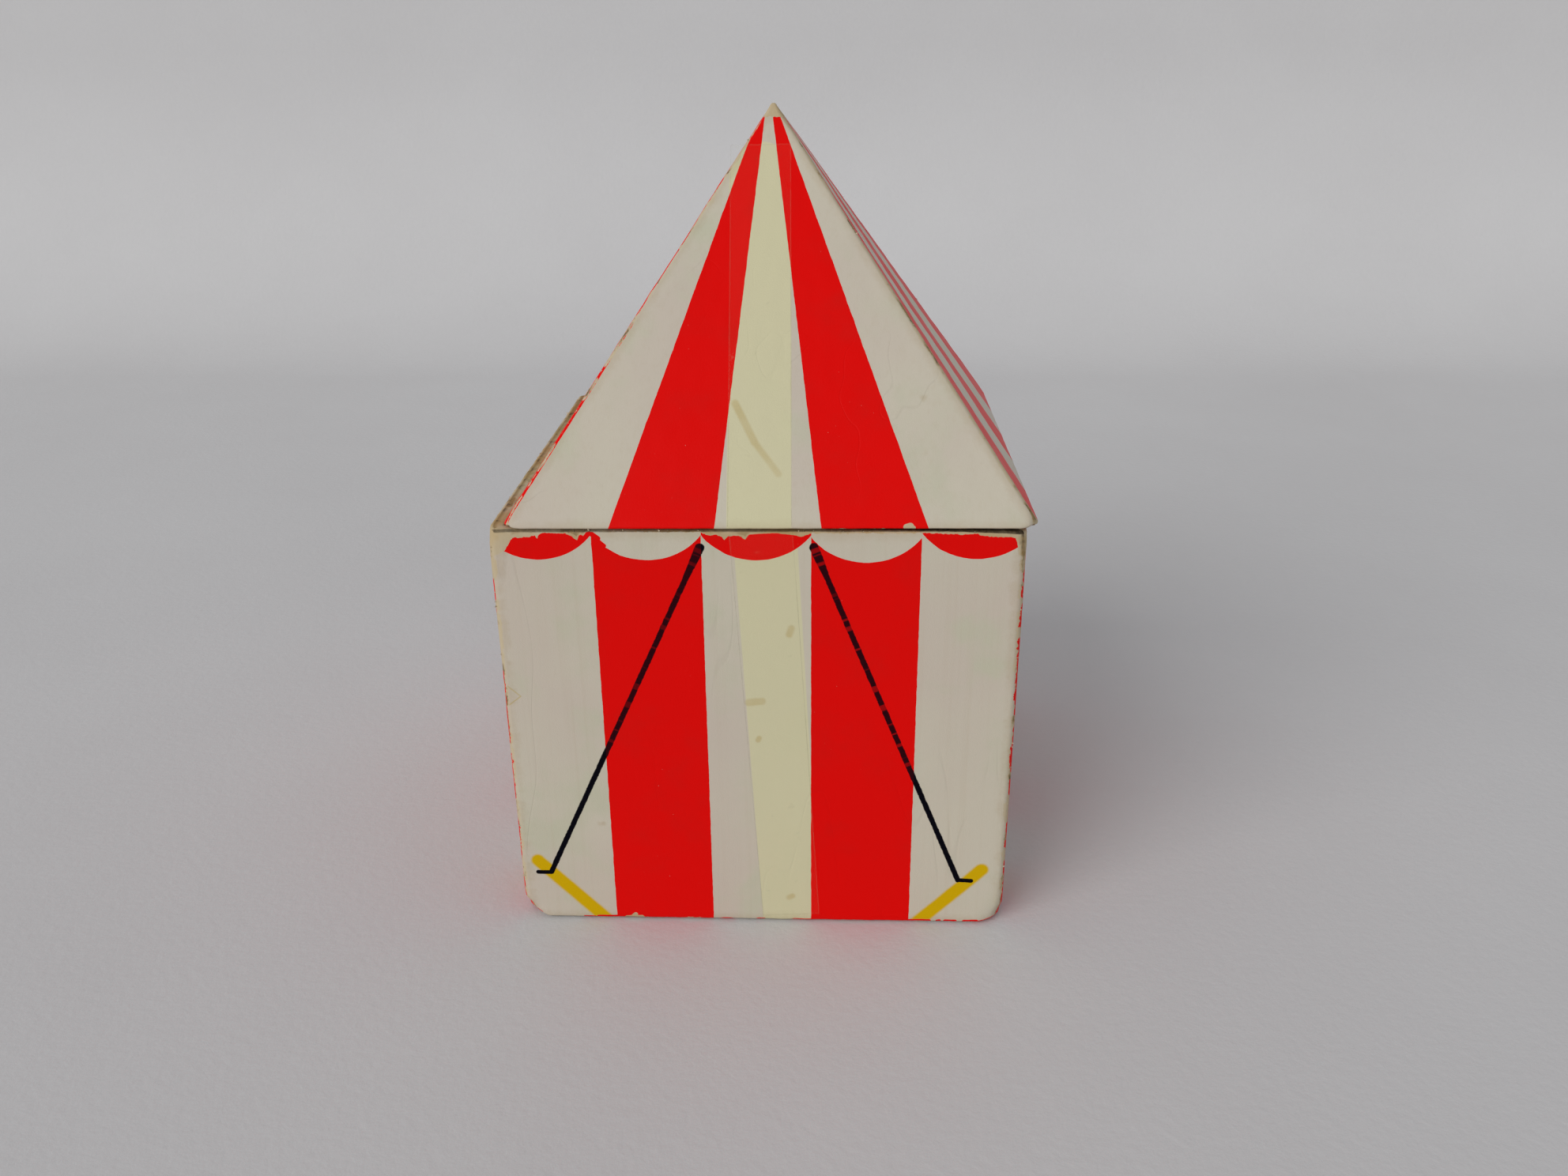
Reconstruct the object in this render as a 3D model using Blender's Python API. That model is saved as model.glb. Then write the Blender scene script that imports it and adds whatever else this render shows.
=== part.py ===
"""A circus tent box: a square carton of paper-covered chipboard with a pyramid lid that lifts off.

Metres, +Z up. The origin is the centre of the underside, which the box stands on.
The front, with the two strips of clear tape, faces -Y.
"""

import math

import bmesh
import bpy
from mathutils import Vector

# Driving dimensions: outside sizes, over the printed paper.
BODY_WIDTH = 0.152
BODY_HEIGHT = 0.133
EAVE_WIDTH = 0.1516
ROOF_RISE = 0.109

# Sheet goods.
BOARD = 0.002
PAPER = 0.0003
STAY = 0.0002
TAPE = 0.0002
GLUE = 0.0003

# How the lid sits on the rim: a little to the right and forward, its right side propped up.
LID_SHIFT_X = 0.0037
LID_SHIFT_Y = -0.0013
LID_TILT = math.radians(-0.3)
SEAT_GAP = 0.0003

# Folds and corners of the printed paper.
FOLD_RADIUS = 0.0006
CORNER_RADIUS = 0.002
HIP_RADIUS = 0.0009
INSIDE_CORNER = 0.0003
CORNER_STEPS = 3
FOLD_STEPS = 3

# The foot's four corners are crushed: this much board is gone there, and the base sheet's corners with it.
FOOT_CRUSH = 0.0034
BASE_SHEET_TRIM = 0.005

# Widths of what is turned in, pasted on or let in.
RIM_TURN_IN = 0.012
BASE_TURN_IN = 0.014
EAVE_TURN_IN = 0.0078
BASE_SHEET_INSET = 0.002
STAY_LEG = 0.010
HIP_STAY_LEG = 0.008
STAY_SHORT_FOOT = 0.010
STAY_SHORT_RIM = 0.005
HIP_STAY_LOW = 0.008
HIP_STAY_APART = 0.001
LINER_BELOW_RIM = 0.006
LINER_FLOOR_GAP = 0.0004
COLLAR_WIDTH = 0.135
COLLAR_DEPTH = 0.010
TAPE_WIDTH = 0.018

# Worked out from the above.
BODY_HALF = BODY_WIDTH / 2
EAVE_HALF = EAVE_WIDTH / 2
SLOPE = math.atan2(ROOF_RISE, EAVE_HALF)
LAYERS = PAPER + GLUE + STAY + GLUE
WALL_OUT = BODY_HALF - LAYERS
WALL_IN = WALL_OUT - BOARD
LINING_FACE = WALL_IN - GLUE - PAPER
BOARD_BASE = PAPER + GLUE + PAPER + GLUE
FLOOR_TOP = BOARD_BASE + BOARD
WALL_TOP = BODY_HEIGHT - PAPER - GLUE
LID_BOARD_BASE = PAPER + GLUE

RED = (0.60, 0.005, 0.005)
CREAM = (0.62, 0.57, 0.45)
CHIPBOARD = (0.28, 0.20, 0.12)
KRAFT = (0.36, 0.24, 0.13)
LINING = (0.66, 0.63, 0.56)
YELLOWED = (0.62, 0.55, 0.28)

for old in list(bpy.data.objects):
    bpy.data.objects.remove(old, do_unlink=True)


def make_material(name, colour, roughness):
    material = bpy.data.materials.new(name)
    material.use_nodes = True
    shader = material.node_tree.nodes["Principled BSDF"]
    shader.inputs["Base Color"].default_value = (*colour, 1)
    shader.inputs["Roughness"].default_value = roughness
    shader.inputs["Metallic"].default_value = 0.0
    return material


PRINTED_BODY = make_material("printed_paper", CREAM, 0.55)
PRINTED_ROOF = make_material("printed_roof_paper", RED, 0.55)
GREY_BOARD = make_material("chipboard", CHIPBOARD, 0.9)
STAY_PAPER = make_material("stay_paper", KRAFT, 0.85)
LINING_PAPER = make_material("lining_paper", LINING, 0.8)
CLEAR_TAPE = make_material("cellulose_tape", YELLOWED, 0.3)

# The lid's parts are placed about this empty, which stands on the lift axis at the level of the rim.
lid_seat = bpy.data.objects.new("lid_seat", None)
bpy.context.scene.collection.objects.link(lid_seat)
lid_seat.location = (
    LID_SHIFT_X,
    LID_SHIFT_Y,
    BODY_HEIGHT + SEAT_GAP + EAVE_HALF * math.sin(-LID_TILT),
)
lid_seat.rotation_euler = (0, LID_TILT, 0)


def finish(name, bm, material, on_lid=False, smooth=False):
    """Makes an object of a bmesh, with its faces pointing out."""
    bmesh.ops.recalc_face_normals(bm, faces=bm.faces)
    mesh = bpy.data.meshes.new(name)
    bm.to_mesh(mesh)
    bm.free()
    mesh.materials.append(material)
    obj = bpy.data.objects.new(name, mesh)
    bpy.context.scene.collection.objects.link(obj)
    if smooth:
        mesh.shade_smooth()
        mesh.set_sharp_from_angle(angle=math.radians(35))
    if on_lid:
        obj.parent = lid_seat
    return obj


def slab(name, low, high, material, on_lid=False):
    """A flat board between two corners, with its origin at its own centre."""
    bm = bmesh.new()
    bmesh.ops.create_cube(bm, size=1)
    size = [b - a for a, b in zip(low, high)]
    bmesh.ops.scale(bm, vec=size, verts=bm.verts)
    obj = finish(name, bm, material, on_lid)
    obj.location = [(a + b) / 2 for a, b in zip(low, high)]
    return obj


def hull(name, points, material, on_lid=False):
    """A convex piece with these corners."""
    bm = bmesh.new()
    verts = [bm.verts.new(p) for p in points]
    bmesh.ops.convex_hull(bm, input=verts)
    return finish(name, bm, material, on_lid)


def square_ring(half, radius, z):
    """Points round a square of this half width, its corners rounded by arcs."""
    centre = half - radius
    points = []
    for quarter in range(4):
        middle = math.radians(45 + 90 * quarter)
        cx = math.copysign(centre, math.cos(middle))
        cy = math.copysign(centre, math.sin(middle))
        for step in range(CORNER_STEPS + 1):
            turn = math.radians(90 * quarter + 90 * step / CORNER_STEPS)
            points.append((cx + radius * math.cos(turn), cy + radius * math.sin(turn), z))
    return points


def square_loft(name, profile, radius_at, material, closed, on_lid=False):
    """Skins square rings, one for each (half width, height) of the profile.

    A closed profile makes a sleeve. An open one is capped at both its ends.
    """
    bm = bmesh.new()
    rings = []
    for half, z in profile:
        points = square_ring(half, radius_at(half), z)
        rings.append([bm.verts.new(p) for p in points])
    pairs = list(zip(rings, rings[1:]))
    if closed:
        pairs.append((rings[-1], rings[0]))
    else:
        bm.faces.new(rings[0])
        bm.faces.new(rings[-1])
    for lower, upper in pairs:
        count = len(lower)
        for i in range(count):
            j = (i + 1) % count
            bm.faces.new((lower[i], lower[j], upper[j], upper[i]))
    return finish(name, bm, material, on_lid, smooth=True)


def arc(centre, radius, start, stop, steps=FOLD_STEPS):
    """Points on an arc in the plane of a profile, from one angle to another in degrees."""
    points = []
    for i in range(steps + 1):
        turn = math.radians(start + (stop - start) * i / steps)
        points.append(
            (centre[0] + radius * math.cos(turn), centre[1] + radius * math.sin(turn))
        )
    return points


def extruded(name, outline, depth, material, on_lid=False):
    """An outline of points in one plane, thickened by a Solidify modifier to one side of it."""
    bm = bmesh.new()
    bm.faces.new([bm.verts.new(p) for p in outline])
    mesh = bpy.data.meshes.new(name)
    bm.to_mesh(mesh)
    bm.free()
    mesh.materials.append(material)
    obj = bpy.data.objects.new(name, mesh)
    bpy.context.scene.collection.objects.link(obj)
    solidify = obj.modifiers.new("thickness", "SOLIDIFY")
    solidify.thickness = depth
    solidify.offset = 1
    if on_lid:
        obj.parent = lid_seat
    return obj


def crush_foot(board):
    """Slices off what a board has at the carton's four crushed lower corners."""
    bm = bmesh.new()
    bm.from_mesh(board.data)
    for sx in (-1, 1):
        for sy in (-1, 1):
            outward = Vector((sx, sy, -1)).normalized()
            corner = Vector((sx * WALL_OUT, sy * WALL_OUT, BOARD_BASE))
            cut = bmesh.ops.bisect_plane(
                bm,
                geom=bm.verts[:] + bm.edges[:] + bm.faces[:],
                plane_co=corner - outward * FOOT_CRUSH - board.location,
                plane_no=outward,
                clear_outer=True,
            )
            edges = [item for item in cut["geom_cut"] if isinstance(item, bmesh.types.BMEdge)]
            if edges:
                bmesh.ops.contextual_create(bm, geom=edges)
    bmesh.ops.recalc_face_normals(bm, faces=bm.faces)
    bm.to_mesh(board.data)
    bm.free()


# ---- The carton: floor board and four wall boards, front and back running the full width.

inner_floor = WALL_IN - GLUE
floor_board = slab(
    "floor_board",
    (-inner_floor, -inner_floor, BOARD_BASE),
    (inner_floor, inner_floor, FLOOR_TOP),
    GREY_BOARD,
)
crush_foot(floor_board)
for name, side in (("front_wall_board", -1), ("back_wall_board", 1)):
    board = slab(
        name,
        (-WALL_OUT, min(side * WALL_OUT, side * WALL_IN), BOARD_BASE),
        (WALL_OUT, max(side * WALL_OUT, side * WALL_IN), WALL_TOP),
        GREY_BOARD,
    )
    crush_foot(board)
    # The two upright outer edges are worn round under the stays.
    weight = board.data.attributes.new("bevel_weight_edge", "FLOAT", "EDGE")
    for edge in board.data.edges:
        ends = [board.data.vertices[v].co for v in edge.vertices]
        upright = (ends[0].xy - ends[1].xy).length < GLUE
        outer = ends[0].y * side > 0 and ends[1].y * side > 0
        weight.data[edge.index].value = 1.0 if upright and outer else 0.0
    bevel = board.modifiers.new("crushed_corner", "BEVEL")
    bevel.limit_method = "WEIGHT"
    bevel.width = CORNER_RADIUS - LAYERS
    bevel.segments = CORNER_STEPS
for name, side in (("left_wall_board", -1), ("right_wall_board", 1)):
    board = slab(
        name,
        (min(side * WALL_OUT, side * WALL_IN), -inner_floor, BOARD_BASE),
        (max(side * WALL_OUT, side * WALL_IN), inner_floor, WALL_TOP),
        GREY_BOARD,
    )
    crush_foot(board)

# ---- Corner stays: gummed paper tape folded round each upright corner, under the printed paper.

STAY_OUT = BODY_HALF - PAPER - GLUE
CORNER_CENTRE = BODY_HALF - CORNER_RADIUS
for name, sx, sy in (
    ("corner_stay_front_left", -1, -1),
    ("corner_stay_front_right", 1, -1),
    ("corner_stay_back_left", -1, 1),
    ("corner_stay_back_right", 1, 1),
):
    outer = CORNER_RADIUS - PAPER - GLUE
    inner = outer - STAY
    centre = (CORNER_CENTRE, CORNER_CENTRE)
    section = [(CORNER_CENTRE - STAY_LEG, CORNER_CENTRE + outer)]
    section += arc(centre, outer, 90, 0)
    section += [
        (CORNER_CENTRE + outer, CORNER_CENTRE - STAY_LEG),
        (CORNER_CENTRE + inner, CORNER_CENTRE - STAY_LEG),
    ]
    section += arc(centre, inner, 0, 90)
    section += [(CORNER_CENTRE - STAY_LEG, CORNER_CENTRE + inner)]
    bm = bmesh.new()
    face = bm.faces.new([bm.verts.new((x * sx, y * sy, STAY_SHORT_FOOT)) for x, y in section])
    grown = bmesh.ops.extrude_face_region(bm, geom=[face])
    top = [v for v in grown["geom"] if isinstance(v, bmesh.types.BMVert)]
    stay_height = WALL_TOP - STAY_SHORT_RIM - STAY_SHORT_FOOT
    bmesh.ops.translate(bm, verts=top, vec=(0, 0, stay_height))
    finish(name, bm, STAY_PAPER, smooth=True)

# ---- Printed paper round the walls: turned in under the base, and over the rim into the inside.


def body_corner(half):
    return max(half - CORNER_CENTRE, INSIDE_CORNER)


wrap_base = PAPER + GLUE
inner_fold = FOLD_RADIUS - PAPER
outer_low = (BODY_HALF - FOLD_RADIUS, wrap_base + FOLD_RADIUS)
outer_high = (BODY_HALF - FOLD_RADIUS, BODY_HEIGHT - FOLD_RADIUS)
inner_high = (LINING_FACE + FOLD_RADIUS, BODY_HEIGHT - FOLD_RADIUS)
turn_in_end = BODY_HEIGHT - RIM_TURN_IN
base_end = BODY_HALF - BASE_TURN_IN
wrap_profile = [(base_end, wrap_base)]
wrap_profile += arc(outer_low, FOLD_RADIUS, -90, 0)
wrap_profile += arc(outer_high, FOLD_RADIUS, 0, 90)
wrap_profile += arc(inner_high, FOLD_RADIUS, 90, 180)
wrap_profile += [(LINING_FACE, turn_in_end), (LINING_FACE + PAPER, turn_in_end)]
wrap_profile += arc(inner_high, inner_fold, 180, 90)
wrap_profile += arc(outer_high, inner_fold, 90, 0)
wrap_profile += arc(outer_low, inner_fold, 0, -90)
wrap_profile += [(base_end, wrap_base + PAPER)]
square_loft("body_wrap", wrap_profile, body_corner, PRINTED_BODY, closed=True)

# ---- Plain sheet under the base, which the box stands on.

base_half = BODY_HALF - BASE_SHEET_INSET
base_short = base_half - BASE_SHEET_TRIM
base_corners = []
for z in (0, PAPER):
    for sx in (-1, 1):
        for sy in (-1, 1):
            base_corners += [(sx * base_half, sy * base_short, z), (sx * base_short, sy * base_half, z)]
hull("base_sheet", base_corners, LINING_PAPER)

# ---- White lining: a sleeve pasted inside the walls, over the turned-in edge, and a sheet on the floor.


def liner_corner(half):
    return INSIDE_CORNER


liner_out = WALL_IN - GLUE
liner_low = FLOOR_TOP + GLUE + PAPER + LINER_FLOOR_GAP
step_low = turn_in_end - 2 * PAPER
step_high = turn_in_end - PAPER
over_turn_in = LINING_FACE - GLUE
liner_top = BODY_HEIGHT - LINER_BELOW_RIM
liner_profile = [
    (liner_out, liner_low),
    (liner_out, step_low),
    (over_turn_in, step_high),
    (over_turn_in, liner_top),
    (over_turn_in - PAPER, liner_top),
    (over_turn_in - PAPER, step_high - PAPER),
    (liner_out - PAPER, step_low - PAPER),
    (liner_out - PAPER, liner_low),
]
square_loft("wall_liner", liner_profile, liner_corner, LINING_PAPER, closed=True)
liner_half = liner_out - GLUE
slab(
    "floor_liner",
    (-liner_half, -liner_half, FLOOR_TOP + GLUE),
    (liner_half, liner_half, FLOOR_TOP + GLUE + PAPER),
    LINING_PAPER,
)

# ---- The lid: four triangular roof boards, mitred at the hips and cut off short of the apex.

SLOPE_SIN = math.sin(SLOPE)
SLOPE_TAN = math.tan(SLOPE)
MITRE_GAP = GLUE / math.sqrt(2)
BOARDS_SHORT_OF_PEAK = 0.008
BOARD_TOP = ROOF_RISE - BOARDS_SHORT_OF_PEAK
BEHIND_BOARDS = LAYERS + BOARD + GLUE


def roof_half(z, depth):
    """Half width of the roof at a height, this far in behind its outer face."""
    return EAVE_HALF - z / SLOPE_TAN - depth / SLOPE_SIN


def turned(point, quarter):
    """A point of the front side, turned to the side that is this many quarter turns on."""
    x, y, z = point
    for _ in range(quarter):
        x, y = -y, x
    return (x, y, z)


SIDES = ("front", "right", "back", "left")
for quarter, side in enumerate(SIDES):
    corners = []
    for z in (LID_BOARD_BASE, BOARD_TOP):
        for depth in (LAYERS, LAYERS + BOARD):
            half = roof_half(z, depth)
            for sign in (-1, 1):
                corners.append(turned((sign * (half - MITRE_GAP), -half, z), quarter))
    hull(f"{side}_roof_board", corners, GREY_BOARD, on_lid=True)

# ---- Hip stays: gummed tape folded along each hip, up to where neighbours would meet.

STAY_TOP = (EAVE_HALF - HIP_STAY_LEG - HIP_STAY_APART) * SLOPE_TAN
for quarter, name in enumerate(
    ("hip_stay_front_right", "hip_stay_back_right", "hip_stay_back_left", "hip_stay_front_left")
):
    bm = bmesh.new()
    loops = []
    for z in (HIP_STAY_LOW, STAY_TOP):
        out = roof_half(z, PAPER + GLUE)
        inn = roof_half(z, PAPER + GLUE + STAY)
        leg = out - HIP_STAY_LEG
        section = [(out, -leg), (out, -out), (leg, -out), (leg, -inn), (inn, -inn), (inn, -leg)]
        loops.append([bm.verts.new(turned((x, y, z), quarter)) for x, y in section])
    low, high = loops
    for i in range(len(low)):
        j = (i + 1) % len(low)
        bm.faces.new((low[i], low[j], high[j], high[i]))
    bm.faces.new(low)
    bm.faces.new(high)
    finish(name, bm, STAY_PAPER, on_lid=True)

# ---- Printed paper over the roof: four faces to a blunt tip, turned in flat under the eaves.


def hip_corner(half):
    return min(HIP_RADIUS, half / 2)


def eave_fold(radius, inset):
    """The fold at the eave, this far in from the outer face and from the underside."""
    shift = radius + inset
    centre = (EAVE_HALF - shift / SLOPE_TAN - shift / SLOPE_SIN, shift)
    return arc(centre, radius, -90, 90 - math.degrees(SLOPE))


TIP_HALF = 0.0009
TIP_TOP_HALF = 0.0005
tip_z = (EAVE_HALF - TIP_HALF) * SLOPE_TAN
inner_tip_z = tip_z - PAPER * 2
flange_end = EAVE_HALF - EAVE_TURN_IN
roof_profile = [(TIP_TOP_HALF, tip_z + TIP_TOP_HALF), (TIP_HALF, tip_z)]
roof_profile += reversed(eave_fold(FOLD_RADIUS, 0))
roof_profile += [(flange_end, 0), (flange_end, PAPER)]
roof_profile += eave_fold(FOLD_RADIUS - PAPER, PAPER)
roof_profile += [(roof_half(inner_tip_z, PAPER), inner_tip_z)]
square_loft("roof_wrap", roof_profile, hip_corner, PRINTED_ROOF, closed=False, on_lid=True)

# ---- Roof lining: white paper pasted up inside the boards, from the collar to the peak.

LINER_TIP_HALF = 0.0008
LINER_TIP_INSIDE = 0.0005


def roof_height(half, depth):
    """The height at which the roof is this wide, this far in behind its outer face."""
    return (EAVE_HALF - half - depth / SLOPE_SIN) * SLOPE_TAN


COLLAR_HALF = COLLAR_WIDTH / 2
strip_out = COLLAR_HALF - PAPER - GLUE
strip_in = strip_out - BOARD
lining_foot = roof_height(strip_in, BEHIND_BOARDS) + GLUE
lining_face = BEHIND_BOARDS + PAPER
roof_liner_profile = [
    (LINER_TIP_HALF, roof_height(LINER_TIP_HALF, BEHIND_BOARDS)),
    (roof_half(lining_foot, BEHIND_BOARDS), lining_foot),
    (roof_half(lining_foot, lining_face), lining_foot),
    (LINER_TIP_INSIDE, roof_height(LINER_TIP_INSIDE, lining_face)),
]
square_loft("roof_liner", roof_liner_profile, hip_corner, LINING_PAPER, closed=False, on_lid=True)

# ---- Collar: four mitred strips on edge, glued up inside the roof boards, which drop inside the rim.

strip_low = -COLLAR_DEPTH + PAPER + GLUE
for quarter, side in enumerate(SIDES):
    corners = []
    for half in (strip_out, strip_in):
        for z in (strip_low, roof_height(half, BEHIND_BOARDS)):
            for sign in (-1, 1):
                corners.append(turned((sign * (half - MITRE_GAP), -half, z), quarter))
    hull(f"{side}_collar_strip", corners, GREY_BOARD, on_lid=True)

# ---- Collar wrap: white paper round the collar, from behind the eaves down and up its inside.

COLLAR_WRAP_HIGH = 0.0012
collar_inside = strip_in - GLUE
inside_high = lining_foot - PAPER - GLUE
collar_profile = [
    (COLLAR_HALF, COLLAR_WRAP_HIGH),
    (COLLAR_HALF, -COLLAR_DEPTH),
    (collar_inside - PAPER, -COLLAR_DEPTH),
    (collar_inside - PAPER, inside_high),
    (collar_inside, inside_high),
    (collar_inside, -COLLAR_DEPTH + PAPER),
    (COLLAR_HALF - PAPER, -COLLAR_DEPTH + PAPER),
    (COLLAR_HALF - PAPER, COLLAR_WRAP_HIGH),
]
square_loft("collar_wrap", collar_profile, liner_corner, LINING_PAPER, closed=True, on_lid=True)

# ---- Clear tape, cut along the seam: a strip up the roof's front and a skewed strip down the carton's.

ROOF_TAPE_X = -0.0035
ROOF_TAPE_LOW = 0.001
ROOF_TAPE_HIGH = 0.0985
HIP_CLEARANCE = 0.001
BODY_TAPE_TOP_X = 0.0014
BODY_TAPE_FOOT_X = 0.0092
BODY_TAPE_END_GAP = 0.001


def on_roof_front(x, z):
    """A point of the lid's front face, the glue's thickness off the paper."""
    return (x, -roof_half(z, 0) - GLUE / SLOPE_SIN, z)


tape_left = ROOF_TAPE_X - TAPE_WIDTH / 2
tape_right = ROOF_TAPE_X + TAPE_WIDTH / 2


def hip_limit(x):
    """The height at which this x reaches the hip."""
    return (EAVE_HALF - abs(x) - HIP_CLEARANCE) * SLOPE_TAN


roof_tape_outline = [
    on_roof_front(tape_left, ROOF_TAPE_LOW),
    on_roof_front(tape_right, ROOF_TAPE_LOW),
    on_roof_front(tape_right, min(hip_limit(tape_right), ROOF_TAPE_HIGH)),
    on_roof_front(roof_half(ROOF_TAPE_HIGH, 0) - HIP_CLEARANCE, ROOF_TAPE_HIGH),
    on_roof_front(HIP_CLEARANCE - roof_half(ROOF_TAPE_HIGH, 0), ROOF_TAPE_HIGH),
    on_roof_front(tape_left, min(hip_limit(tape_left), ROOF_TAPE_HIGH)),
]
extruded("roof_tape", roof_tape_outline, TAPE, CLEAR_TAPE, on_lid=True)

tape_y = -BODY_HALF - GLUE
tape_foot = wrap_base + BODY_TAPE_END_GAP
tape_head = BODY_HEIGHT - BODY_TAPE_END_GAP
body_tape_outline = [
    (BODY_TAPE_FOOT_X - TAPE_WIDTH / 2, tape_y, tape_foot),
    (BODY_TAPE_FOOT_X + TAPE_WIDTH / 2, tape_y, tape_foot),
    (BODY_TAPE_TOP_X + TAPE_WIDTH / 2, tape_y, tape_head),
    (BODY_TAPE_TOP_X - TAPE_WIDTH / 2, tape_y, tape_head),
]
extruded("body_tape", body_tape_outline, TAPE, CLEAR_TAPE)
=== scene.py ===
"""The looks of the circus tent box: old printed paper over chipboard, with a loose pyramid lid.

Each section is one piece or group of like pieces, in the order in which the box is made up.
Lengths are metres. The front of the box, where the tape is, faces -Y.
"""

import math

import bpy
import numpy as np
from mathutils import Euler, Matrix, Vector, noise


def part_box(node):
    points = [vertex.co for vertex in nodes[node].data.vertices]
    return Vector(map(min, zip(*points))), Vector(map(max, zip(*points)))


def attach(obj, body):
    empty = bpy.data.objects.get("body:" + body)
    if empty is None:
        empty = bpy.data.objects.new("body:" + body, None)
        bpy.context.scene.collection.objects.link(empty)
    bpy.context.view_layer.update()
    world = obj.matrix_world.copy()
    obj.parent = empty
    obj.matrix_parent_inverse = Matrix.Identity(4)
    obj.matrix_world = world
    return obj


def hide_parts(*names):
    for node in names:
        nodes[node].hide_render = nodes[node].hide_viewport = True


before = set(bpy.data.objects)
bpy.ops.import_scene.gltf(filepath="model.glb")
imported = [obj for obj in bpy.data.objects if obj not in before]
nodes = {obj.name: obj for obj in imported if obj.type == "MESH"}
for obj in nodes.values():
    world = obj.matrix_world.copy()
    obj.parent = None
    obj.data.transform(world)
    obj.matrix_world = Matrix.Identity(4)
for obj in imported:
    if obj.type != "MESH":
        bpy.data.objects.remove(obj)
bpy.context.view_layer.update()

# ---------------------------------------------------------------------------------------------
# Chipboard: the floor, the four walls, the four roof triangles and the collar strips.
# Grey-brown board milled from waste paper, cut and scored by hand. Paper hides nearly all of it.


def put(tree, kind, inputs=None, **settings):
    """Adds a node. Its inputs are values or the sockets that feed them."""
    node = tree.nodes.new(kind)
    for key, value in settings.items():
        setattr(node, key, value)
    for key, value in (inputs or {}).items():
        if isinstance(value, bpy.types.NodeSocket):
            tree.links.new(value, node.inputs[key])
        else:
            node.inputs[key].default_value = value
    return node


def tree_of(*values):
    """The node tree of the first socket among some values."""
    return next(value.id_data for value in values if isinstance(value, bpy.types.NodeSocket))


def calc(operation, *values):
    """One Math node of up to three values, one of them at least a socket."""
    inputs = dict(enumerate(values))
    return put(tree_of(*values), "ShaderNodeMath", inputs, operation=operation).outputs[0]


def times(one, other):
    """The product of two values, as where two masks overlap."""
    return calc("MULTIPLY", one, other)


def plus(one, other):
    """The sum of two values."""
    return calc("ADD", one, other)


def minus(one, other):
    """One value less another."""
    return calc("SUBTRACT", one, other)


def times_plus(value, factor, offset):
    """value * factor + offset."""
    return calc("MULTIPLY_ADD", value, factor, offset)


def step_over(value, start, end):
    """0 below start and 1 above end, smooth between them; it falls instead if start is the larger."""
    inputs = {"Value": value, "From Min": start, "From Max": end}
    node = put(tree_of(value, start), "ShaderNodeMapRange", inputs, interpolation_type="SMOOTHSTEP")
    return node.outputs[0]


def mottle(vector, scale, detail=3.0, roughness=0.6):
    """Fractal noise from 0 to 1, about 0.5."""
    inputs = {"Vector": vector, "Scale": scale, "Detail": detail, "Roughness": roughness}
    return put(vector.id_data, "ShaderNodeTexNoise", inputs).outputs["Fac"]


def tint(mask, under, over):
    """Lays one colour over another where the mask is 1."""
    inputs = {0: mask, 6: under, 7: over}
    return put(tree_of(mask, under, over), "ShaderNodeMix", inputs, data_type="RGBA").outputs[2]


def new_group(name, inputs, outputs):
    """An empty shader group with these named sockets, and its two end nodes."""
    group = bpy.data.node_groups.new(name, "ShaderNodeTree")
    for label, kind, default in inputs:
        socket = group.interface.new_socket(label, in_out="INPUT", socket_type=kind)
        if default is not None:
            socket.default_value = default
    for label, kind in outputs:
        group.interface.new_socket(label, in_out="OUTPUT", socket_type=kind)
    return group, group.nodes.new("NodeGroupInput").outputs, group.nodes.new("NodeGroupOutput").inputs


def use(group, **inputs):
    """Places a shader group; underscores in the names stand for spaces."""
    named = {key.replace("_", " "): value for key, value in inputs.items()}
    return put(tree_of(*inputs.values()), "ShaderNodeGroup", named, node_tree=group).outputs


VECTOR, FLOAT, COLOUR = "NodeSocketVector", "NodeSocketFloat", "NodeSocketColor"

# Felted fibres: long faint hairs over a fine tooth. The hairs come from a stretched noise.
fibres, given, made = new_group(
    "paper_fibres",
    [("Vector", VECTOR, None), ("Scale", FLOAT, 1.0)],
    [("Height", FLOAT), ("Cloud", FLOAT)],
)
scaled = put(fibres, "ShaderNodeVectorMath", {0: given["Vector"], 3: given["Scale"]}, operation="SCALE")
swirl = put(fibres, "ShaderNodeTexNoise", {"Vector": scaled.outputs[0], "Scale": 260.0})
bent = put(
    fibres,
    "ShaderNodeVectorMath",
    {0: swirl.outputs["Color"], 1: (0.004, 0.004, 0.004), 2: scaled.outputs[0]},
    operation="MULTIPLY_ADD",
)
stretched = put(fibres, "ShaderNodeMapping", {"Vector": bent.outputs[0], "Scale": (2600, 700, 420)})
hairs = mottle(stretched.outputs[0], 1.0, 2.0)
tooth = mottle(scaled.outputs[0], 2400.0, 2.0)
fibres.links.new(times_plus(hairs, 0.6, tooth), made["Height"])
fibres.links.new(mottle(scaled.outputs[0], 45.0, 4.0, 0.55), made["Cloud"])


def new_material(name, colour, roughness, specular=0.3):
    """A material with its Principled shader, and the object's own coordinates."""
    material = bpy.data.materials.new(name)
    material.use_nodes = True
    tree = material.node_tree
    shader = tree.nodes["Principled BSDF"]
    shader.inputs["Base Color"].default_value = (*colour, 1)
    shader.inputs["Roughness"].default_value = roughness
    shader.inputs["Specular IOR Level"].default_value = specular
    place = put(tree, "ShaderNodeTexCoord").outputs["Object"]
    return material, tree, shader, place


def emboss(shader, height, depth):
    """Feeds a height to the shader's normal as relief of this depth."""
    tree = shader.id_data
    bump = put(tree, "ShaderNodeBump", {"Height": height, "Strength": 1.0, "Distance": depth})
    tree.links.new(bump.outputs[0], shader.inputs["Normal"])


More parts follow.
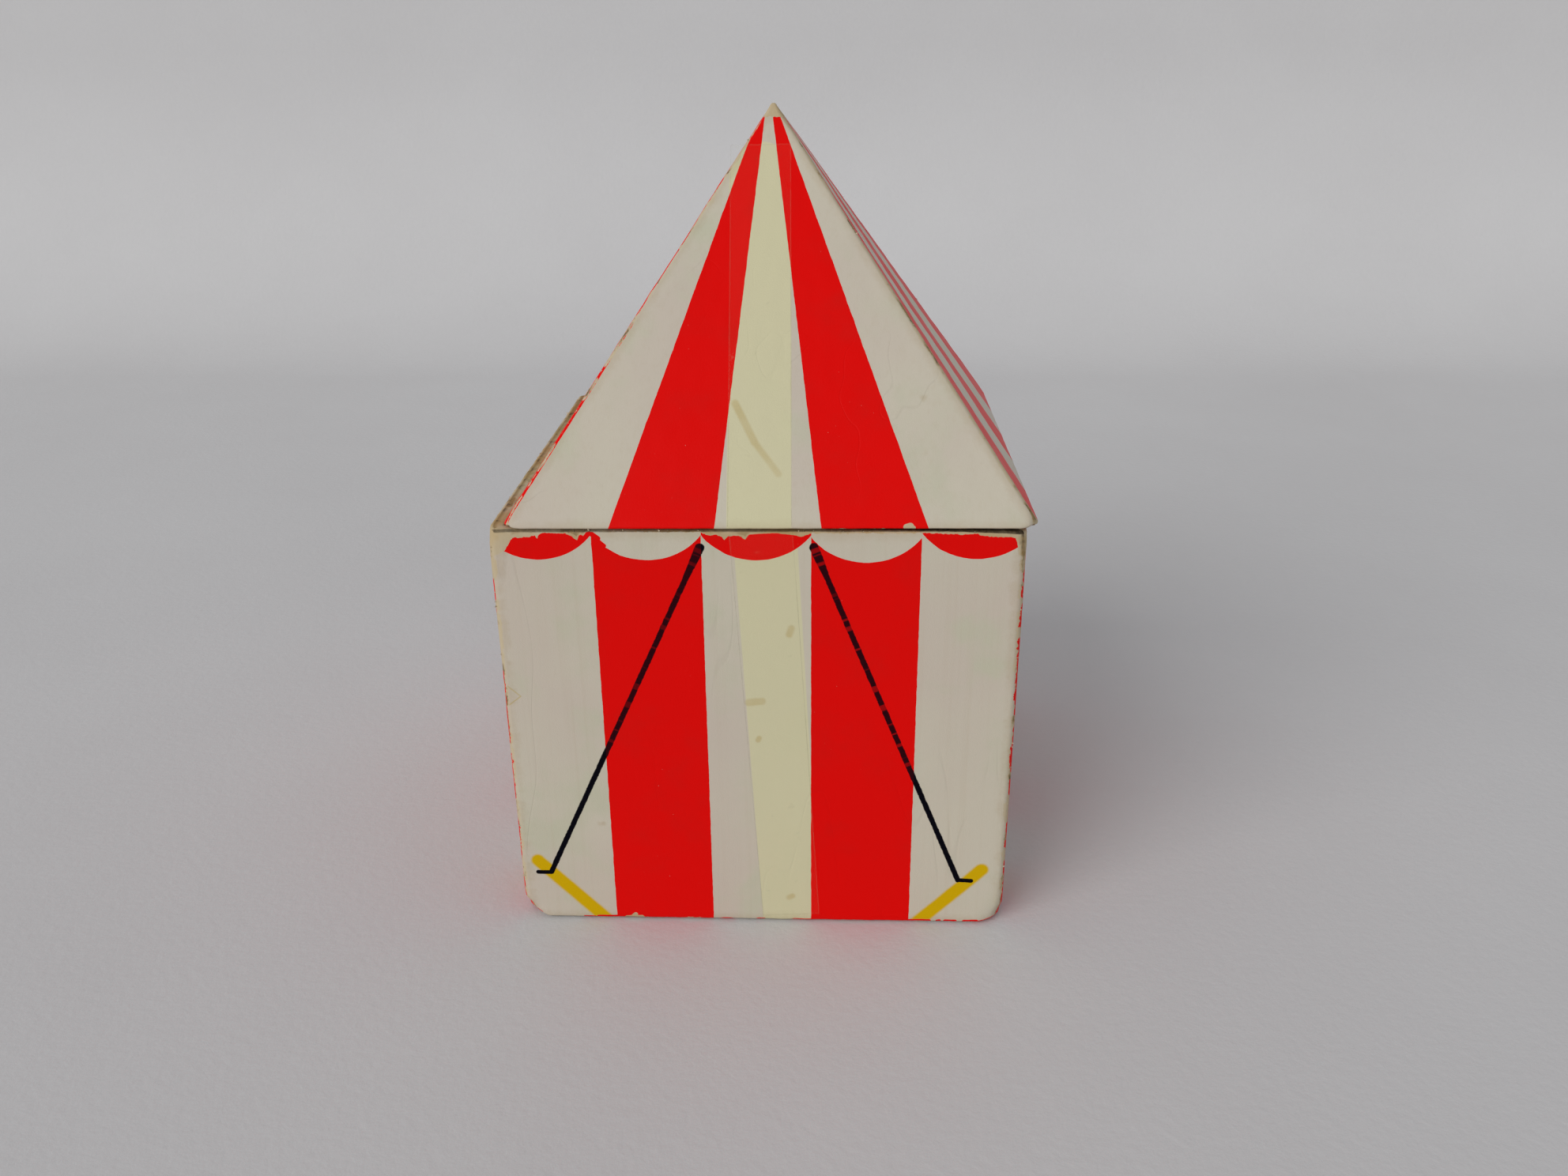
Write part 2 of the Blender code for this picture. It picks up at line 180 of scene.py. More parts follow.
BOARD_PALE = (0.30, 0.215, 0.135, 1)
BOARD_DARK = (0.15, 0.10, 0.06, 1)
chipboard, tree, shader, place = new_material("grey_chipboard", BOARD_PALE[:3], 0.9, 0.15)
felt = use(fibres, Vector=place, Scale=0.6)
specks = step_over(mottle(place, 900.0, 1.0), 0.62, 0.7)
board_colour = tint(felt["Cloud"], BOARD_DARK, BOARD_PALE)
board_colour = tint(times(specks, 0.5), board_colour, BOARD_DARK)
tree.links.new(board_colour, shader.inputs["Base Color"])
emboss(shader, felt["Height"], 0.0002)

BOARDS = ["floor_board"]
BOARDS += [f"{side}_wall_board" for side in ("front", "back", "left", "right")]
BOARDS += [f"{side}_roof_board" for side in ("front", "back", "left", "right")]
BOARDS += [f"{side}_collar_strip" for side in ("front", "back", "left", "right")]
for board in BOARDS:
    nodes[board].data.materials[0] = chipboard

# ---------------------------------------------------------------------------------------------
# Stays: gummed brown paper tape, wetted and folded round each corner of the carton and each hip.
# It holds the boards edge to edge until the printed paper goes over them.

KRAFT_PALE = (0.42, 0.27, 0.14, 1)
KRAFT_DARK = (0.29, 0.18, 0.09, 1)
kraft, tree, shader, place = new_material("gummed_kraft", KRAFT_PALE[:3], 0.75, 0.25)
felt = use(fibres, Vector=place, Scale=1.0)
tree.links.new(tint(felt["Cloud"], KRAFT_DARK, KRAFT_PALE), shader.inputs["Base Color"])
emboss(shader, felt["Height"], 0.0001)
for corner in ("front_left", "front_right", "back_left", "back_right"):
    for stay in (f"corner_stay_{corner}", f"hip_stay_{corner}"):
        nodes[stay].data.materials[0] = kraft

# ---------------------------------------------------------------------------------------------
# Carton paper: one printed sheet round the four walls, turned in under the base and over the rim.
# Lightly coated, gone cream with age, its corners rubbed through to the white and then the brown.

wrap_low, wrap_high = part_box("body_wrap")
BODY_HALF = (wrap_high.x - wrap_low.x) / 2
RIM = wrap_high.z
FOOT = wrap_low.z
PAPER = 0.0003
FOLD = 0.0008
CORNER = 0.0021
CRUSH = 0.0017
CRUSH_REACH = 0.009
RIM_CRUSH_SHARE = 0.6
BASE_TURN_IN = 0.013
RIM_TURN_IN = 0.0125
WALL = 0.0043
CELLS = 76
CORNER_STEPS = 4

# The print: five stripes to a side, a scallop over each, guy ropes and pegs.
PITCH = 0.031
SCALLOP_RADIUS = 0.0196
SCALLOP_CENTRE = RIM + 0.0106
FOURTH_SCALLOP_LOW = 0.0005
FIFTH_SCALLOP_HIGH = 0.0008
FOOT_BAND = 0.0013
ROPE = 0.00072
PEG = 0.0017
ROPES = (
    ((-0.0159, 0.1278), (-0.0665, 0.0177), (-0.0706, 0.0177)),
    ((0.0163, 0.1280), (0.0614, 0.0167), (0.0655, 0.0165)),
)
ROPE_WEAR = (0.12, 0.37)
PEGS = (
    ((-0.0703, 0.0220), (-0.0490, -0.0008)),
    ((0.0686, 0.0206), (0.0472, -0.0016)),
)

SIDE_COUNT = 4


def ring_points(half, radius):
    """Points round a square with rounded corners, and how far each is along its own side.

    A side runs from the middle of one corner to the middle of the next. The front side is first,
    and the others follow anticlockwise seen from above.
    """
    flat = half - radius
    turn = np.linspace(0, math.pi / 4, CORNER_STEPS + 1)
    start = -flat - radius * turn[:0:-1]
    side = np.concatenate([start, np.linspace(-flat, flat, CELLS + 1), flat + radius * turn[1:]])
    bend = np.clip(np.abs(side) - flat, 0, None) / radius
    x = np.sign(side) * (np.minimum(np.abs(side), flat) + radius * np.sin(bend))
    y = -(flat + radius * np.cos(bend))
    around = []
    for _ in range(SIDE_COUNT):
        around.append(np.stack([x[:-1], y[:-1]], 1))
        x, y = -y, x
    return np.concatenate(around), side


def skin(name, rows):
    """Skins square rings, one for each row's (half width, height, corner radius, print height).

    The last ring joins back to the first, so the rows go round the sheet's thickness. The UV map
    called print holds metres along the side, plus the side's number, and the print height.
    """
    rings = [ring_points(half, radius) for half, _, radius, _ in rows]
    count = len(rings[0][0])
    per_side = count // SIDE_COUNT
    heights = np.repeat([row[1] for row in rows], count)
    verts = np.column_stack([np.concatenate([ring for ring, _ in rings]), heights])
    i = np.arange(count)
    j = (i + 1) % count
    quads = []
    prints = []
    side, spot = i // per_side, i % per_side
    for low in range(len(rows)):
        high = (low + 1) % len(rows)
        quads.append(np.stack([low * count + i, low * count + j, high * count + j, high * count + i], 1))
        for row, shift in ((low, 0), (low, 1), (high, 1), (high, 0)):
            along = rings[row][1][spot + shift] + side
            prints.append(np.stack([along, np.full(count, rows[row][3])], 1))
    faces = np.concatenate(quads).tolist()
    uv = np.concatenate([np.stack(prints[k : k + 4], 1) for k in range(0, len(prints), 4)]).reshape(-1, 2)
    mesh = bpy.data.meshes.new(name)
    mesh.from_pydata(verts.tolist(), [], faces)
    mesh.uv_layers.new(name="print").data.foreach_set("uv", uv.astype(np.float32).ravel())
    return show(name, mesh)


def show(name, mesh, smooth_under=40):
    """Puts a mesh in the scene, shaded smooth but for its sharp folds."""
    mesh.validate()
    mesh.shade_smooth()
    mesh.set_sharp_from_angle(angle=math.radians(smooth_under))
    obj = bpy.data.objects.new(name, mesh)
    bpy.context.scene.collection.objects.link(obj)
    return obj


def buckle(obj, amount, size, keep=None, seed=0.0):
    """Moves points along their normals by smooth noise, as paper lifts and sinks over its board."""
    mesh = obj.data
    moved = []
    for vertex in mesh.vertices:
        share = 1.0 if keep is None else keep(vertex.co)
        swell = noise.noise(vertex.co / size + Vector((seed, seed, 0)))
        moved.append(vertex.co + vertex.normal * (amount * share * swell))
    mesh.vertices.foreach_set("co", np.array(moved, np.float32).ravel())
    mesh.update()


def quarter_arc(centre, radius, start, stop, steps=4):
    """(half width, height) of points on an arc of a profile, angles in degrees."""
    turns = np.radians(np.linspace(start, stop, steps + 1))
    return [(centre[0] + radius * math.cos(t), centre[1] + radius * math.sin(t)) for t in turns]


def corner_radius(z):
    """Upright corners are crushed rounder at the rim and most of all at the foot."""
    foot = math.exp(-z / CRUSH_REACH)
    rim = math.exp(-(RIM - z) / CRUSH_REACH)
    return CORNER + CRUSH * (foot + RIM_CRUSH_SHARE * rim)


def carton_rows():
    """The sheet's profile: base edge, wall, rim, inside edge, then back along its glued face."""
    low = (BODY_HALF - FOLD, FOOT + FOLD)
    high = (BODY_HALF - FOLD, RIM - FOLD)
    inner = (BODY_HALF - WALL + FOLD, RIM - FOLD)
    outline = [(BODY_HALF - reach, FOOT) for reach in np.linspace(BASE_TURN_IN, 2 * FOLD, 5)]
    outline += quarter_arc(low, FOLD, -90, 0)
    outline += [(BODY_HALF, z) for z in np.linspace(low[1], high[1], 67)[1:-1]]
    outline += quarter_arc(high, FOLD, 0, 90)
    outline += quarter_arc(inner, FOLD, 90, 180)
    outline += [(BODY_HALF - WALL, RIM - drop) for drop in np.linspace(2 * FOLD, RIM_TURN_IN, 7)]
    inside = FOLD - PAPER
    back = [(BODY_HALF - WALL + PAPER, RIM - RIM_TURN_IN)]
    back += quarter_arc(inner, inside, 180, 90, 2)
    back += quarter_arc(high, inside, 90, 0, 2)
    back += quarter_arc(low, inside, 0, -90, 2)
    back += [(BODY_HALF - BASE_TURN_IN, FOOT + PAPER)]
    run = 0.0
    rows = []
    previous = outline[0]
    for half, z in outline:
        run += math.dist(previous, (half, z))
        previous = (half, z)
        rows.append([half, z, run])
    at_wall = next(row[2] - row[1] for row in rows if row[0] >= BODY_HALF - 1e-6)
    rows = [(half, z, trimmed(half, corner_radius(z)), run - at_wall) for half, z, run in rows]
    rows += [(half, z, trimmed(half, corner_radius(z) - PAPER), RIM) for half, z in back]
    return rows


def trimmed(half, radius):
    """The radius of a corner that is concentric with the outside of the wall."""
    return max(radius - (BODY_HALF - half), 0.0003)


carton_paper = skin("carton_paper", carton_rows())


def dent(obj, tip, inward, reach, depth):
    """Pushes the points within reach of a tip inwards, deepest at the tip itself."""
    push = Vector(inward).normalized() * depth
    for vertex in obj.data.vertices:
        near = (vertex.co - Vector(tip)).length / reach
        if near < 1:
            vertex.co += push * (1 - near**2) ** 2
    obj.data.update()


def off_the_edges(co):
    """1 on the open wall, falling to 0 at the folds, where the paper is stretched tight."""
    return min(1.0, max(0.0, min(RIM - co.z, co.z - FOOT) / 0.01))


WALL_SWELL = 0.00022
WALL_SWELL_SIZE = 0.035
WALL_SWELL_SEED = 3.0
buckle(carton_paper, WALL_SWELL, WALL_SWELL_SIZE, off_the_edges, WALL_SWELL_SEED)
PUCKER = 0.00012
PUCKER_SIZE = 0.004
buckle(carton_paper, PUCKER, PUCKER_SIZE, lambda co: 1.0 - 0.8 * off_the_edges(co), 8.0)
FOOT_DENT = 0.0030
FOOT_DENT_REACH = 0.008
RIM_DENT = 0.0008
RIM_DENT_REACH = 0.005
CORNER_KNOCKS = ((-1, -1, 1.0, 1.0), (1, -1, 0.65, 0.6), (1, 1, 0.7, 0.8), (-1, 1, 0.85, 1.1))
for sx, sy, foot_share, rim_share in CORNER_KNOCKS:
    x, y = sx * BODY_HALF, sy * BODY_HALF
    dent(carton_paper, (x, y, FOOT), (-sx, -sy, 1), FOOT_DENT_REACH, FOOT_DENT * foot_share)
    dent(carton_paper, (x, y, RIM), (-sx, -sy, -1), RIM_DENT_REACH, RIM_DENT * rim_share)

# Line of a brush from A to B with round ends, wider where it starts: 1 on the line.
stroke, given, made = new_group(
    "stroke",
    [
        ("Point", VECTOR, None),
        ("A", VECTOR, None),
        ("B", VECTOR, None),
        ("Half Width", FLOAT, 0.001),
        ("Head", FLOAT, 0.0),
        ("Softness", FLOAT, 0.0001),
    ],
    [("Mask", FLOAT), ("Along", FLOAT)],
)


def vector_calc(operation, *values):
    """One Vector Math node; the output is its vector, or its number for a distance or a dot product."""
    inputs = dict(enumerate(values))
    node = put(tree_of(*values), "ShaderNodeVectorMath", inputs, operation=operation)
    return node.outputs[1] if operation in ("DOT_PRODUCT", "DISTANCE") else node.outputs[0]


span = vector_calc("SUBTRACT", given["B"], given["A"])
offset = vector_calc("SUBTRACT", given["Point"], given["A"])
along_span = vector_calc("DOT_PRODUCT", offset, span)
reach = calc("DIVIDE", along_span, vector_calc("DOT_PRODUCT", span, span))
reach = put(stroke, "ShaderNodeClamp", {"Value": reach}).outputs[0]
nearest = put(stroke, "ShaderNodeVectorMath", {0: span, 3: reach}, operation="SCALE").outputs[0]
head = times(step_over(reach, 0.10, 0.0), given["Head"])
half_width = plus(given["Half Width"], head)
gap = minus(vector_calc("DISTANCE", offset, nearest), half_width)
stroke.links.new(step_over(gap, given["Softness"], 0.0), made["Mask"])
stroke.links.new(reach, made["Along"])

# Rubbing: near an edge the ink goes first, in ragged chips, and then the paper, here and there.
rub, given, made = new_group(
    "edge_rub",
    [("Vector", VECTOR, None), ("Distance", FLOAT, 0.0), ("Width", FLOAT, 0.001), ("Ragged", FLOAT, 0.001)],
    [("Rubbed", FLOAT), ("Bared", FLOAT), ("Soiled", FLOAT)],
)
flake = minus(mottle(given["Vector"], 620.0, 4.0, 0.68), 0.5)
patch = minus(mottle(given["Vector"], 110.0, 2.0, 0.5), 0.5)
doubled = times(given["Ragged"], 2.0)
ragged = times(times_plus(flake, 1.6, patch), doubled)
edge = minus(plus(given["Distance"], ragged), given["Width"])
rub.links.new(step_over(edge, 0.00008, -0.00002), made["Rubbed"])
bald = step_over(mottle(given["Vector"], 90.0, 3.0, 0.6), 0.50, 0.60)
deep = times_plus(given["Width"], 0.45, edge)
rub.links.new(times(step_over(deep, 0.0002, -0.0002), bald), made["Bared"])
grime = times_plus(ragged, 2.0, minus(given["Distance"], given["Width"]))
rub.links.new(step_over(grime, 0.0035, 0.0), made["Soiled"])

# Old coated paper under the ink: clouded cream, faint crazing, foxing and handling marks.
outputs = [("Color", COLOUR), ("Height", FLOAT)]
aged, given, made = new_group("aged_paper", [("Vector", VECTOR, None)], outputs)
CREAM = (0.655, 0.600, 0.485, 1)
ROSY = (0.640, 0.560, 0.470, 1)
GREENISH = (0.600, 0.580, 0.440, 1)
FOXED = (0.42, 0.29, 0.13, 1)
GRIME = (0.20, 0.165, 0.12, 1)
felt = use(fibres, Vector=given["Vector"], Scale=1.0)
cloud = mottle(given["Vector"], 16.0, 3.0, 0.5)
shade = tint(step_over(cloud, 0.35, 0.65), ROSY, CREAM)
shade = tint(step_over(felt["Cloud"], 0.5, 0.75), shade, GREENISH)
fox = mottle(given["Vector"], 130.0, 2.0, 0.5)
fox_patch = step_over(mottle(given["Vector"], 22.0, 1.0), 0.52, 0.7)
fox_mask = times(step_over(fox, 0.70, 0.80), times(fox_patch, 0.45))
shade = tint(fox_mask, shade, FOXED)
streaks = put(aged, "ShaderNodeMapping", {"Vector": given["Vector"], "Scale": (700, 700, 9)}).outputs[0]
streak = step_over(mottle(streaks, 1.0, 3.0, 0.6), 0.45, 0.8)
shade = tint(times(streak, 0.07), shade, FOXED)
creased = put(aged, "ShaderNodeMapping", {"Vector": given["Vector"], "Scale": (40, 40, 6)}).outputs[0]
meander = calc("ABSOLUTE", minus(mottle(creased, 1.0, 2.0, 0.4), 0.5))
crease_patch = step_over(mottle(given["Vector"], 20.0, 2.0), 0.5, 0.6)
crazing = times(step_over(meander, 0.0045, 0.001), crease_patch)
shade = tint(times(crazing, 0.05), shade, GRIME)
aged.links.new(shade, made["Color"])
aged.links.new(times_plus(crazing, -1.0, felt["Height"]), made["Height"])

RED_INK = (0.86, 0.003, 0.002, 1)
RED_WORN = (0.78, 0.006, 0.004, 1)
BLACK_INK = (0.001, 0.001, 0.004, 1)
PEG_INK = (0.70, 0.44, 0.001, 1)
PRINT_RELIEF = 0.000035
PAPER_CORE = (0.60, 0.50, 0.34, 1)
PAPER_TAN = (0.50, 0.35, 0.16, 1)
BARE_BROWN = (0.30, 0.19, 0.07, 1)
BARE_DARK = (0.09, 0.055, 0.02, 1)
# Near-black painted shade of the gap under the lid's eave, on the carton's front rim.
PAINTED_GAP_SHADE = (0.022, 0.014, 0.008, 1)
TAPE_STAIN = (0.72, 0.68, 0.43, 1)
GLUE_STAIN = (0.56, 0.44, 0.19, 1)


def printed_sheet(name, build):
    """A printed paper. build(tree, side, along, height, place) returns the sheet's masks by name.

    A sheet without black line, pegs or painted shade under the lid leaves those masks out.
    """
    material, tree, shader, place = new_material(name, CREAM[:3], 0.4, 0.06)
    spot = put(tree, "ShaderNodeSeparateXYZ", {0: put(tree, "ShaderNodeUVMap", uv_map="print").outputs[0]})
    side = calc("FLOOR", plus(spot.outputs[0], 0.5))
    along = minus(spot.outputs[0], side)
    masks = build(tree, side, along, spot.outputs[1], place)
    paper = use(aged, Vector=place)
    tone = step_over(mottle(place, 70.0, 3.0), 0.3, 0.7)
    stained = tint(times(masks["stain"], 0.85), paper["Color"], TAPE_STAIN)
    glue = times(masks["glue"], times_plus(tone, 0.3, 0.35))
    stained = tint(glue, stained, GLUE_STAIN)
    pinholes = step_over(mottle(place, 1500.0, 1.0), 0.80, 0.84)
    covered = minus(1.0, times(pinholes, 0.4))
    inked = times(masks["red"], covered)
    ink = tint(step_over(mottle(place, 60.0, 4.0), 0.45, 0.85), RED_INK, RED_WORN)
    soiled = tint(times(masks["soiled"], 0.22), stained, FOXED)
    colour = tint(inked, soiled, ink)
    colour = tint(masks.get("peg", 0.0), colour, PEG_INK)
    colour = tint(masks.get("black", 0.0), colour, BLACK_INK)
    worn_paper = tint(times(masks["tanned"], tone), PAPER_CORE, PAPER_TAN)
    colour = tint(masks["rubbed"], colour, worn_paper)
    board = tint(step_over(mottle(place, 330.0, 3.0), 0.5, 0.62), BARE_BROWN, BARE_DARK)
    colour = tint(times(masks["bared"], 0.85), colour, board)
    # Painted shade in the gap under the lid, laid over everything else.
    colour = tint(masks.get("gap", 0.0), colour, PAINTED_GAP_SHADE)
    tree.links.new(colour, shader.inputs["Base Color"])
    worn = calc("MAXIMUM", masks["rubbed"], masks["bared"])
    gloss = times_plus(mottle(place, 90.0, 3.0), 0.16, 0.30)
    tree.links.new(times_plus(worn, 0.45, gloss), shader.inputs["Roughness"])
    relief = times_plus(worn, -0.6, paper["Height"])
    emboss(shader, times_plus(inked, 0.2, relief), PRINT_RELIEF)
    return material


def drawn_curve(value, points, peak):
    """A width that changes along an edge, drawn through listed points: points are (place, width) in metres.
    """
    tree = value.id_data
    low, high = points[0][0], points[-1][0]
    ranged = put(tree, "ShaderNodeMapRange", {"Value": value, "From Min": low, "From Max": high}).outputs[0]
    node = put(tree, "ShaderNodeFloatCurve", {"Value": ranged})
    curve = node.mapping.curves[0]
    for number, (at, width) in enumerate(points):
        spot = ((at - low) / (high - low), width / peak)
        if number in (0, len(points) - 1):
            curve.points[-1 if number else 0].location = spot
        else:
            curve.points.new(*spot)
    for point in curve.points:
        point.handle_type = "VECTOR"
    node.mapping.update()
    return times(node.outputs[0], peak)


def over_one_another(*masks):
    """The strongest of several masks."""
    strongest = masks[0]
    for mask in masks[1:]:
        strongest = calc("MAXIMUM", strongest, mask)
    return strongest


RIM_OVER = WALL + 2 * FOLD * (math.pi / 2 - 1)
CORNER_ALONG = BODY_HALF - CORNER * (1 - math.pi / 4)

# How far down the ink is chipped along the front's rim: (place along the rim, depth).
CHIP_PEAK = 0.009
CHIPS = (
    (-0.0760, 0.0085), (-0.0712, 0.0062), (-0.0696, 0.0032), (-0.0680, 0.0022), (-0.0640, 0.0020),
    (-0.0622, 0.0014), (-0.0619, 0.0030), (-0.0615, 0.0014), (-0.0595, 0.0007), (-0.0537, 0.0007),
    (-0.0519, 0.0018), (-0.0504, 0.0029), (-0.0496, 0.0006), (-0.0486, 0.0015), (-0.0478, 0.0004),
    (-0.0155, 0.0005), (-0.0132, 0.0017), (-0.0110, 0.0013), (-0.0096, 0.0017), (-0.0087, 0.0030),
    (-0.0080, 0.0016), (-0.0045, 0.0013), (-0.0031, 0.0027), (-0.0022, 0.0009), (0.0056, 0.0005),
    (0.0131, 0.0016), (0.0160, 0.0005), (0.0520, 0.0005), (0.0524, 0.0010), (0.0529, 0.0005),
    (0.0615, 0.0005), (0.0625, 0.0009), (0.0693, 0.0015), (0.0728, 0.0016), (0.0736, 0.0065),
    (0.0760, 0.0085),
)

# Red left along the front's foot: stretches across it.
FOOT_DASHES = (
    (-0.0525, -0.0455), (0.0450, 0.0530), (0.0556, 0.0562), (0.0580, 0.0612), (0.0640, 0.0680),
)

# Ink that has held on along the front's worn upright corners: (corner, place round it, half width,
# stretches of height).
EDGE_DASHES = (
    (
        "right", 0.0004, 0.0006,
        ((0.1132, 0.1158), (0.1040, 0.1092), (0.0805, 0.0995), (0.0560, 0.0640), (0.0292, 0.0305)),
    ),
    ("left", 0.0003, 0.0002, ((0.0455, 0.0600), (0.0640, 0.0880), (0.0260, 0.0340))),
)

# Strokes of a brush on the front: (start, end, half width, softness of the edge), each end as
# (place along the side, height).
CRISP = 0.00015
HORN = (
    ((-0.0462, 0.1317), (-0.0446, 0.1305), 0.0007, CRISP),
    ((-0.0452, 0.1303), (-0.0430, 0.1283), 0.0006, CRISP),
)
FOOT_CHIPS = (
    ((-0.0432, 0.0006), (-0.0386, 0.0008), 0.0008, CRISP),
    ((-0.0412, 0.0014), (-0.0405, 0.0020), 0.0006, CRISP),
)
BODY_TAPE_STAIN = ((0.0016, 0.1500), (0.0104, -0.0200), 0.0088, 0.0004)
GLUE_BLOTS = (
    ((-0.0030, 0.0788), (0.0010, 0.0792), 0.0007, 0.0009),
    ((0.0092, 0.1010), (0.0098, 0.1030), 0.0005, 0.0010),
    ((-0.0004, 0.0660), (0.0000, 0.0668), 0.0004, 0.0008),
    ((0.0086, 0.0092), (0.0096, 0.0098), 0.0004, 0.0010),
)
SCRATCHES = (
    ((-0.0745, 0.0835), (-0.0708, 0.0802), 0.0001, 0.0002),
    ((-0.0745, 0.0772), (-0.0708, 0.0802), 0.0001, 0.0002),
)
RIM_BLOTS = (
    ((0.0490, RIM + 0.0008), (0.0560, RIM + 0.0014), 0.0009, 0.0006),
    ((-0.0740, RIM + 0.0006), (-0.0350, RIM + 0.0006), 0.0012, 0.0008),
)
RIM_END_WORN = ((0.0754, 0.1330), (0.0754, 0.1265), 0.0007, 0.0008)
# Painted shade under the lid's eave: a thin dark line along the front's rim, and a stroke over the rim's
# fold on the right, where the lid stands up off the rim.
PAINTED_SHUT_SHADE = ((-0.0745, RIM - 0.0003), (0.0740, RIM + 0.0005), 0.0003, 0.0004)
PAINTED_GAP_WEDGE = ((0.0200, RIM + 0.0026), (0.0752, RIM + 0.0006), 0.0012, 0.0003)


def carton_print(tree, side, along, height, place):
    """Stripes and scallops, colours changing places on the next side, with ropes and pegs on top."""
    wobble = times_plus(mottle(place, 300.0, 3.0), 0.0004, -0.0002)
    across = plus(along, wobble)
    column = calc("ROUND", calc("DIVIDE", across, PITCH))
    parity = calc("FLOORED_MODULO", plus(column, side), 2.0)
    sideways = minus(across, times(column, PITCH))
    fourth = times(calc("COMPARE", column, 1.0, 0.5), FOURTH_SCALLOP_LOW)
    fifth = times(calc("COMPARE", column, 2.0, 0.5), -FIFTH_SCALLOP_HIGH)
    uneven = plus(plus(fourth, fifth), wobble)
    up = minus(plus(height, uneven), SCALLOP_CENTRE)
    squares = plus(calc("POWER", sideways, 2.0), calc("POWER", up, 2.0))
    spread = calc("SQRT", squares)
    scallop = calc("LESS_THAN", spread, SCALLOP_RADIUS)
    red = calc("ABSOLUTE", minus(parity, scallop))
    on_front = calc("LESS_THAN", calc("ABSOLUTE", side), 0.5)
    spot = put(tree, "ShaderNodeCombineXYZ", {0: along, 1: plus(height, wobble)}).outputs[0]

    def brush(start, end, half_width, softness):
        ends = {"A": (*start, 0), "B": (*end, 0)}
        return use(stroke, Point=spot, Half_Width=half_width, Softness=softness, **ends)["Mask"]

    def front_brush(*strokes):
        parts = [times(brush(*line), on_front) for line in strokes]
        return over_one_another(*parts)

    foot_print = calc("LESS_THAN", plus(height, wobble), FOOT_BAND)
    foot_patch = step_over(mottle(place, 120.0, 2.0), 0.50, 0.54)
    red = calc("MAXIMUM", red, times(foot_print, foot_patch))
    red = calc("MAXIMUM", red, front_brush(*HORN))
    foot_ink = front_brush(*[((low, 0.0010), (high, 0.0011), 0.0005, CRISP) for low, high in FOOT_DASHES])
    red = calc("MAXIMUM", red, foot_ink)
    right_half = calc("GREATER_THAN", along, 0.0)
    corner_number = calc("FLOORED_MODULO", plus(side, right_half), float(SIDE_COUNT))
    front_left = calc("LESS_THAN", corner_number, 0.5)
    front_right = calc("COMPARE", corner_number, 1.0, 0.1)
    corner = minus(CORNER_ALONG, calc("ABSOLUTE", along))
    turned = times(corner, times_plus(on_front, -2.0, 1.0))
    torn = times_plus(mottle(place, 600.0, 4.0, 0.7), 0.0034, -0.0017)
    turned = put(tree, "ShaderNodeCombineXYZ", {0: plus(turned, torn), 1: height}).outputs[0]
    left_inks = []
    for which, at, half_width, dashes in EDGE_DASHES:
        on_corner = front_right if which == "right" else front_left
        for low, high in dashes:
            ends = {"A": (at, low, 0), "B": (at, high, 0)}
            line = use(stroke, Point=turned, Half_Width=half_width, Softness=CRISP, **ends)
            left_inks.append(times(line["Mask"], on_corner))
    left_ink = over_one_another(*left_inks)
    red = calc("MAXIMUM", red, left_ink)
    width_noise = mottle(place, 900.0, 2.0)
    lines = []
    for (top, foot, hook), worn_share in zip(ROPES, ROPE_WEAR):
        half = times_plus(width_noise, 0.0004, ROPE - 0.0002)
        ends = {"A": (*top, 0), "B": (*foot, 0)}
        line = use(stroke, Point=spot, Half_Width=half, Head=ROPE * 0.7, Softness=0.00025, **ends)
        spaced = {"W": line["Along"], "Scale": 34.0}
        beads = put(tree, "ShaderNodeTexNoise", spaced, noise_dimensions="1D").outputs[0]
        over_red = times(red, worn_share)
        gaps = times(step_over(beads, 0.56, 0.64), over_red)
        whole = minus(times_plus(red, -0.03, 1.0), gaps)
        thin = times(line["Mask"], whole)
        lines += [thin, brush(foot, hook, ROPE * 0.9, 0.0002)]
    pegs = [brush(top, foot, PEG, 0.0010) for top, foot in PEGS]
    under_red = minus(1.0, times(red, on_front))
    rim = minus(RIM - 0.0001, height)
    rim = calc("MAXIMUM", rim, minus(height, RIM + RIM_OVER))
    patch = step_over(mottle(place, 45.0, 2.0), 0.42, 0.7)
    plain_chips = times_plus(patch, 0.0026, 0.0004)
    front_chips = drawn_curve(along, CHIPS, CHIP_PEAK)
    widths = {0: on_front, 2: plain_chips, 3: front_chips}
    rim_width = put(tree, "ShaderNodeMix", widths, data_type="FLOAT").outputs[0]
    rim_ragged = times_plus(on_front, -0.0004, 0.0009)
    at_rim = use(rub, Vector=place, Distance=rim, Width=rim_width, Ragged=rim_ragged)
    shorter = put(tree, "ShaderNodeMapping", {"Vector": place, "Scale": (1, 1, 2)}).outputs[0]
    held = step_over(mottle(shorter, 65.0, 2.0), 0.56, 0.46)
    near_rim = calc("EXPONENT", calc("DIVIDE", rim, -0.006))
    near_foot = calc("EXPONENT", calc("DIVIDE", height, -0.006))
    opened = times(near_rim, times_plus(front_left, 0.0022, 0.0014))
    opened = times_plus(near_foot, 0.0008, opened)
    corner_width = times_plus(held, 0.0011, opened)
    at_corner = use(rub, Vector=place, Distance=corner, Width=corner_width, Ragged=0.0007)
    no_ink = minus(1.0, left_ink)
    bare_corner = times(at_corner["Rubbed"], no_ink)
    brown_corner = times(at_corner["Bared"], no_ink)
    over_rim = step_over(rim, -0.0004, -0.0010)
    rim_holes = step_over(mottle(place, 230.0, 3.0), 0.60, 0.68)
    rim_top = times(over_rim, times_plus(rim_holes, 0.45, 0.12))
    on_left = times(calc("COMPARE", side, 3.0, 0.5), over_rim)
    outer_line = step_over(height, RIM + 0.0024, RIM + 0.0008)
